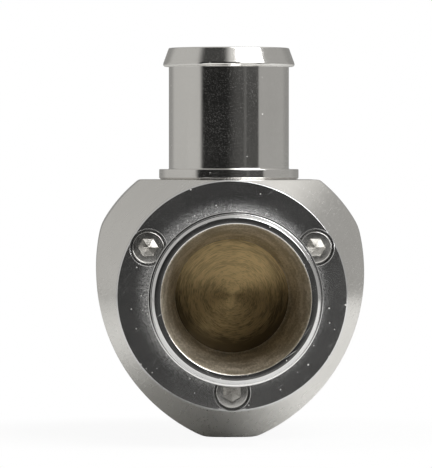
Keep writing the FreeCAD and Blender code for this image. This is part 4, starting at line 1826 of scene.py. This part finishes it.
@dataclass
class Studio:
    """Walls, lamp, floor and camera round the object."""

    wall_level: float = 0.45
    wall_slant: float = -0.07
    panels: tuple[Panel, ...] = (
        Panel(176.0, 5.0, 44.0, 30.0, 24.0, 0.3),  # dim wall behind the object
        Panel(108.0, 68.0, 22.0, 20.0, 20.0, 0.8),  # ceiling light on the right
        Panel(0.6, 0.0, 56.3, 52.0, 3.0, 0.014, soft_left=9.0),  # dark room behind the camera
        Panel(-22.0, 45.0, 30.0, 11.0, 14.0, 0.05),  # dark upper left corner
        Panel(32.0, 0.0, 24.9, 46.0, 3.0, 0.07, soft_left=30.0),  # the room's paler right side
        Panel(30.0, 4.0, 2.2, 12.0, 4.0, 0.13),  # narrow streak in it
        Panel(24.0, -16.0, 26.0, 10.0, 12.0, 0.25),  # paler low right side
        Panel(0.0, -31.0, 45.0, 19.0, 8.0, 1.3),  # lit table in front
        Panel(16.0, 44.0, 14.0, 16.0, 14.0, 0.7),  # glow over the room
    )
    lamp_bearing: tuple[float, float] = (44.0, 46.5)
    lamp_distance: float = 0.62
    lamp_size: tuple[float, float] = (0.45, 0.54)
    lamp_power: float = 3.6
    floor_front: float = -0.055
    floor_middle: float = 0.03
    floor_fade: tuple[float, float] = (0.04, 0.085)
    floor_white: float = 0.93
    eye: tuple[float, float, float] = (-0.0292, -1.0, 0.0267)
    aim: tuple[float, float, float] = (-0.00334, 0.0, 0.0128)
    lens: float = 372.3

    def build(self) -> None:
        """Makes the world, the lamp, the floor and the camera."""
        self.make_world()
        self.make_lamp()
        self.make_floor()
        self.make_camera()
        bpy.context.scene.view_settings.view_transform = "Standard"
        LOG.info("studio with %d panels", len(self.panels))

    def make_world(self) -> None:
        """White to the camera, and a plain tent with soft panels to everything else."""
        world = bpy.data.worlds.new("studio")
        bpy.context.scene.world = world
        world.use_nodes = True
        world.node_tree.nodes.clear()
        sheet = Sheet(world.node_tree)
        x, y, z = sheet.split(sheet.value("ShaderNodeTexCoord", output="Generated"))
        level = x * self.wall_slant + self.wall_level
        for panel in self.panels:
            level = level + panel.share(sheet, (x, y, z)) * (level * -1.0 + panel.level)
        walls = sheet.node("ShaderNodeBackground", {"Color": solid((1.0, 0.985, 0.95)), "Strength": level})
        white = sheet.node("ShaderNodeBackground", {"Color": solid((1.0, 1.0, 1.0)), "Strength": 1.0})
        seen = sheet.value("ShaderNodeLightPath", output="Is Camera Ray")
        finish_tree(sheet, "ShaderNodeOutputWorld", seen, walls, white)

    def make_lamp(self) -> None:
        """The soft key lamp, in front, to the right and above."""
        data = bpy.data.lights.new("key", "AREA")
        data.shape = "RECTANGLE"
        data.size, data.size_y = self.lamp_size
        data.energy = self.lamp_power
        lamp = bpy.data.objects.new("key", data)
        bpy.context.scene.collection.objects.link(lamp)
        towards = Vector(bearing(*self.lamp_bearing))
        lamp.location = towards * self.lamp_distance
        lamp.rotation_euler = towards.to_track_quat("Z", "Y").to_euler()
        lamp.visible_camera = False

    def make_floor(self) -> None:
        """A pale floor under the foot, white to the camera apart from the object's shadow."""
        shape = bmesh.new()
        bmesh.ops.create_grid(shape, x_segments=8, y_segments=8, size=3.0)
        for vertex in shape.verts:
            vertex.co += Vector((0.0, 3.0 + self.floor_front, -FOOT_FLAT * MM))
        floor = formed("floor", shape)
        material = bpy.data.materials.new("pale_floor")
        material.use_nodes = True
        material.node_tree.nodes.clear()
        sheet = Sheet(material.node_tree)
        paper = sheet.node("ShaderNodeBsdfDiffuse", {"Color": solid((0.8, 0.8, 0.79))})
        white = sheet.node("ShaderNodeEmission", {"Color": solid((1.0, 1.0, 1.0)), "Strength": 1.0})
        x, y, _ = sheet.split(sheet.value("ShaderNodeTexCoord", output="Object"))
        behind = y - self.floor_middle
        away = (x * x + behind * behind).math("SQRT")
        path = sheet.node("ShaderNodeLightPath")
        fade = sheet.between(away, *self.floor_fade) * (1.0 - self.floor_white) + self.floor_white
        share = sheet.out(path, "Is Camera Ray") * fade
        finish_tree(sheet, "ShaderNodeOutputMaterial", share, paper, white)
        floor.data.materials.append(material)

    def make_camera(self) -> None:
        """The camera, looking into the inlet from just left of and above the bore's axis."""
        data = bpy.data.cameras.new("camera")
        data.lens = self.lens
        data.clip_start, data.clip_end = 0.01, 100.0
        camera = bpy.data.objects.new("camera", data)
        bpy.context.scene.collection.objects.link(camera)
        camera.location = Vector(self.eye)
        camera.rotation_euler = (Vector(self.aim) - Vector(self.eye)).to_track_quat("-Z", "Y").to_euler()
        bpy.context.scene.camera = camera


def main() -> None:
    """Builds the valve round the frame, then the studio."""
    logging.basicConfig(level=logging.INFO, format="%(name)s: %(message)s")
    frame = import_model()
    shop = Workshop(frame)
    parts = (ValveBody(), InletFlange(), OutletNipple(), PistonSet(), ReturnSpring(), RearCap(), VacuumFitting())
    for part in parts:
        part.build(shop)
        LOG.info("%s done", type(part).__name__)
    Studio().build()


if __name__ == "__main__":
    main()
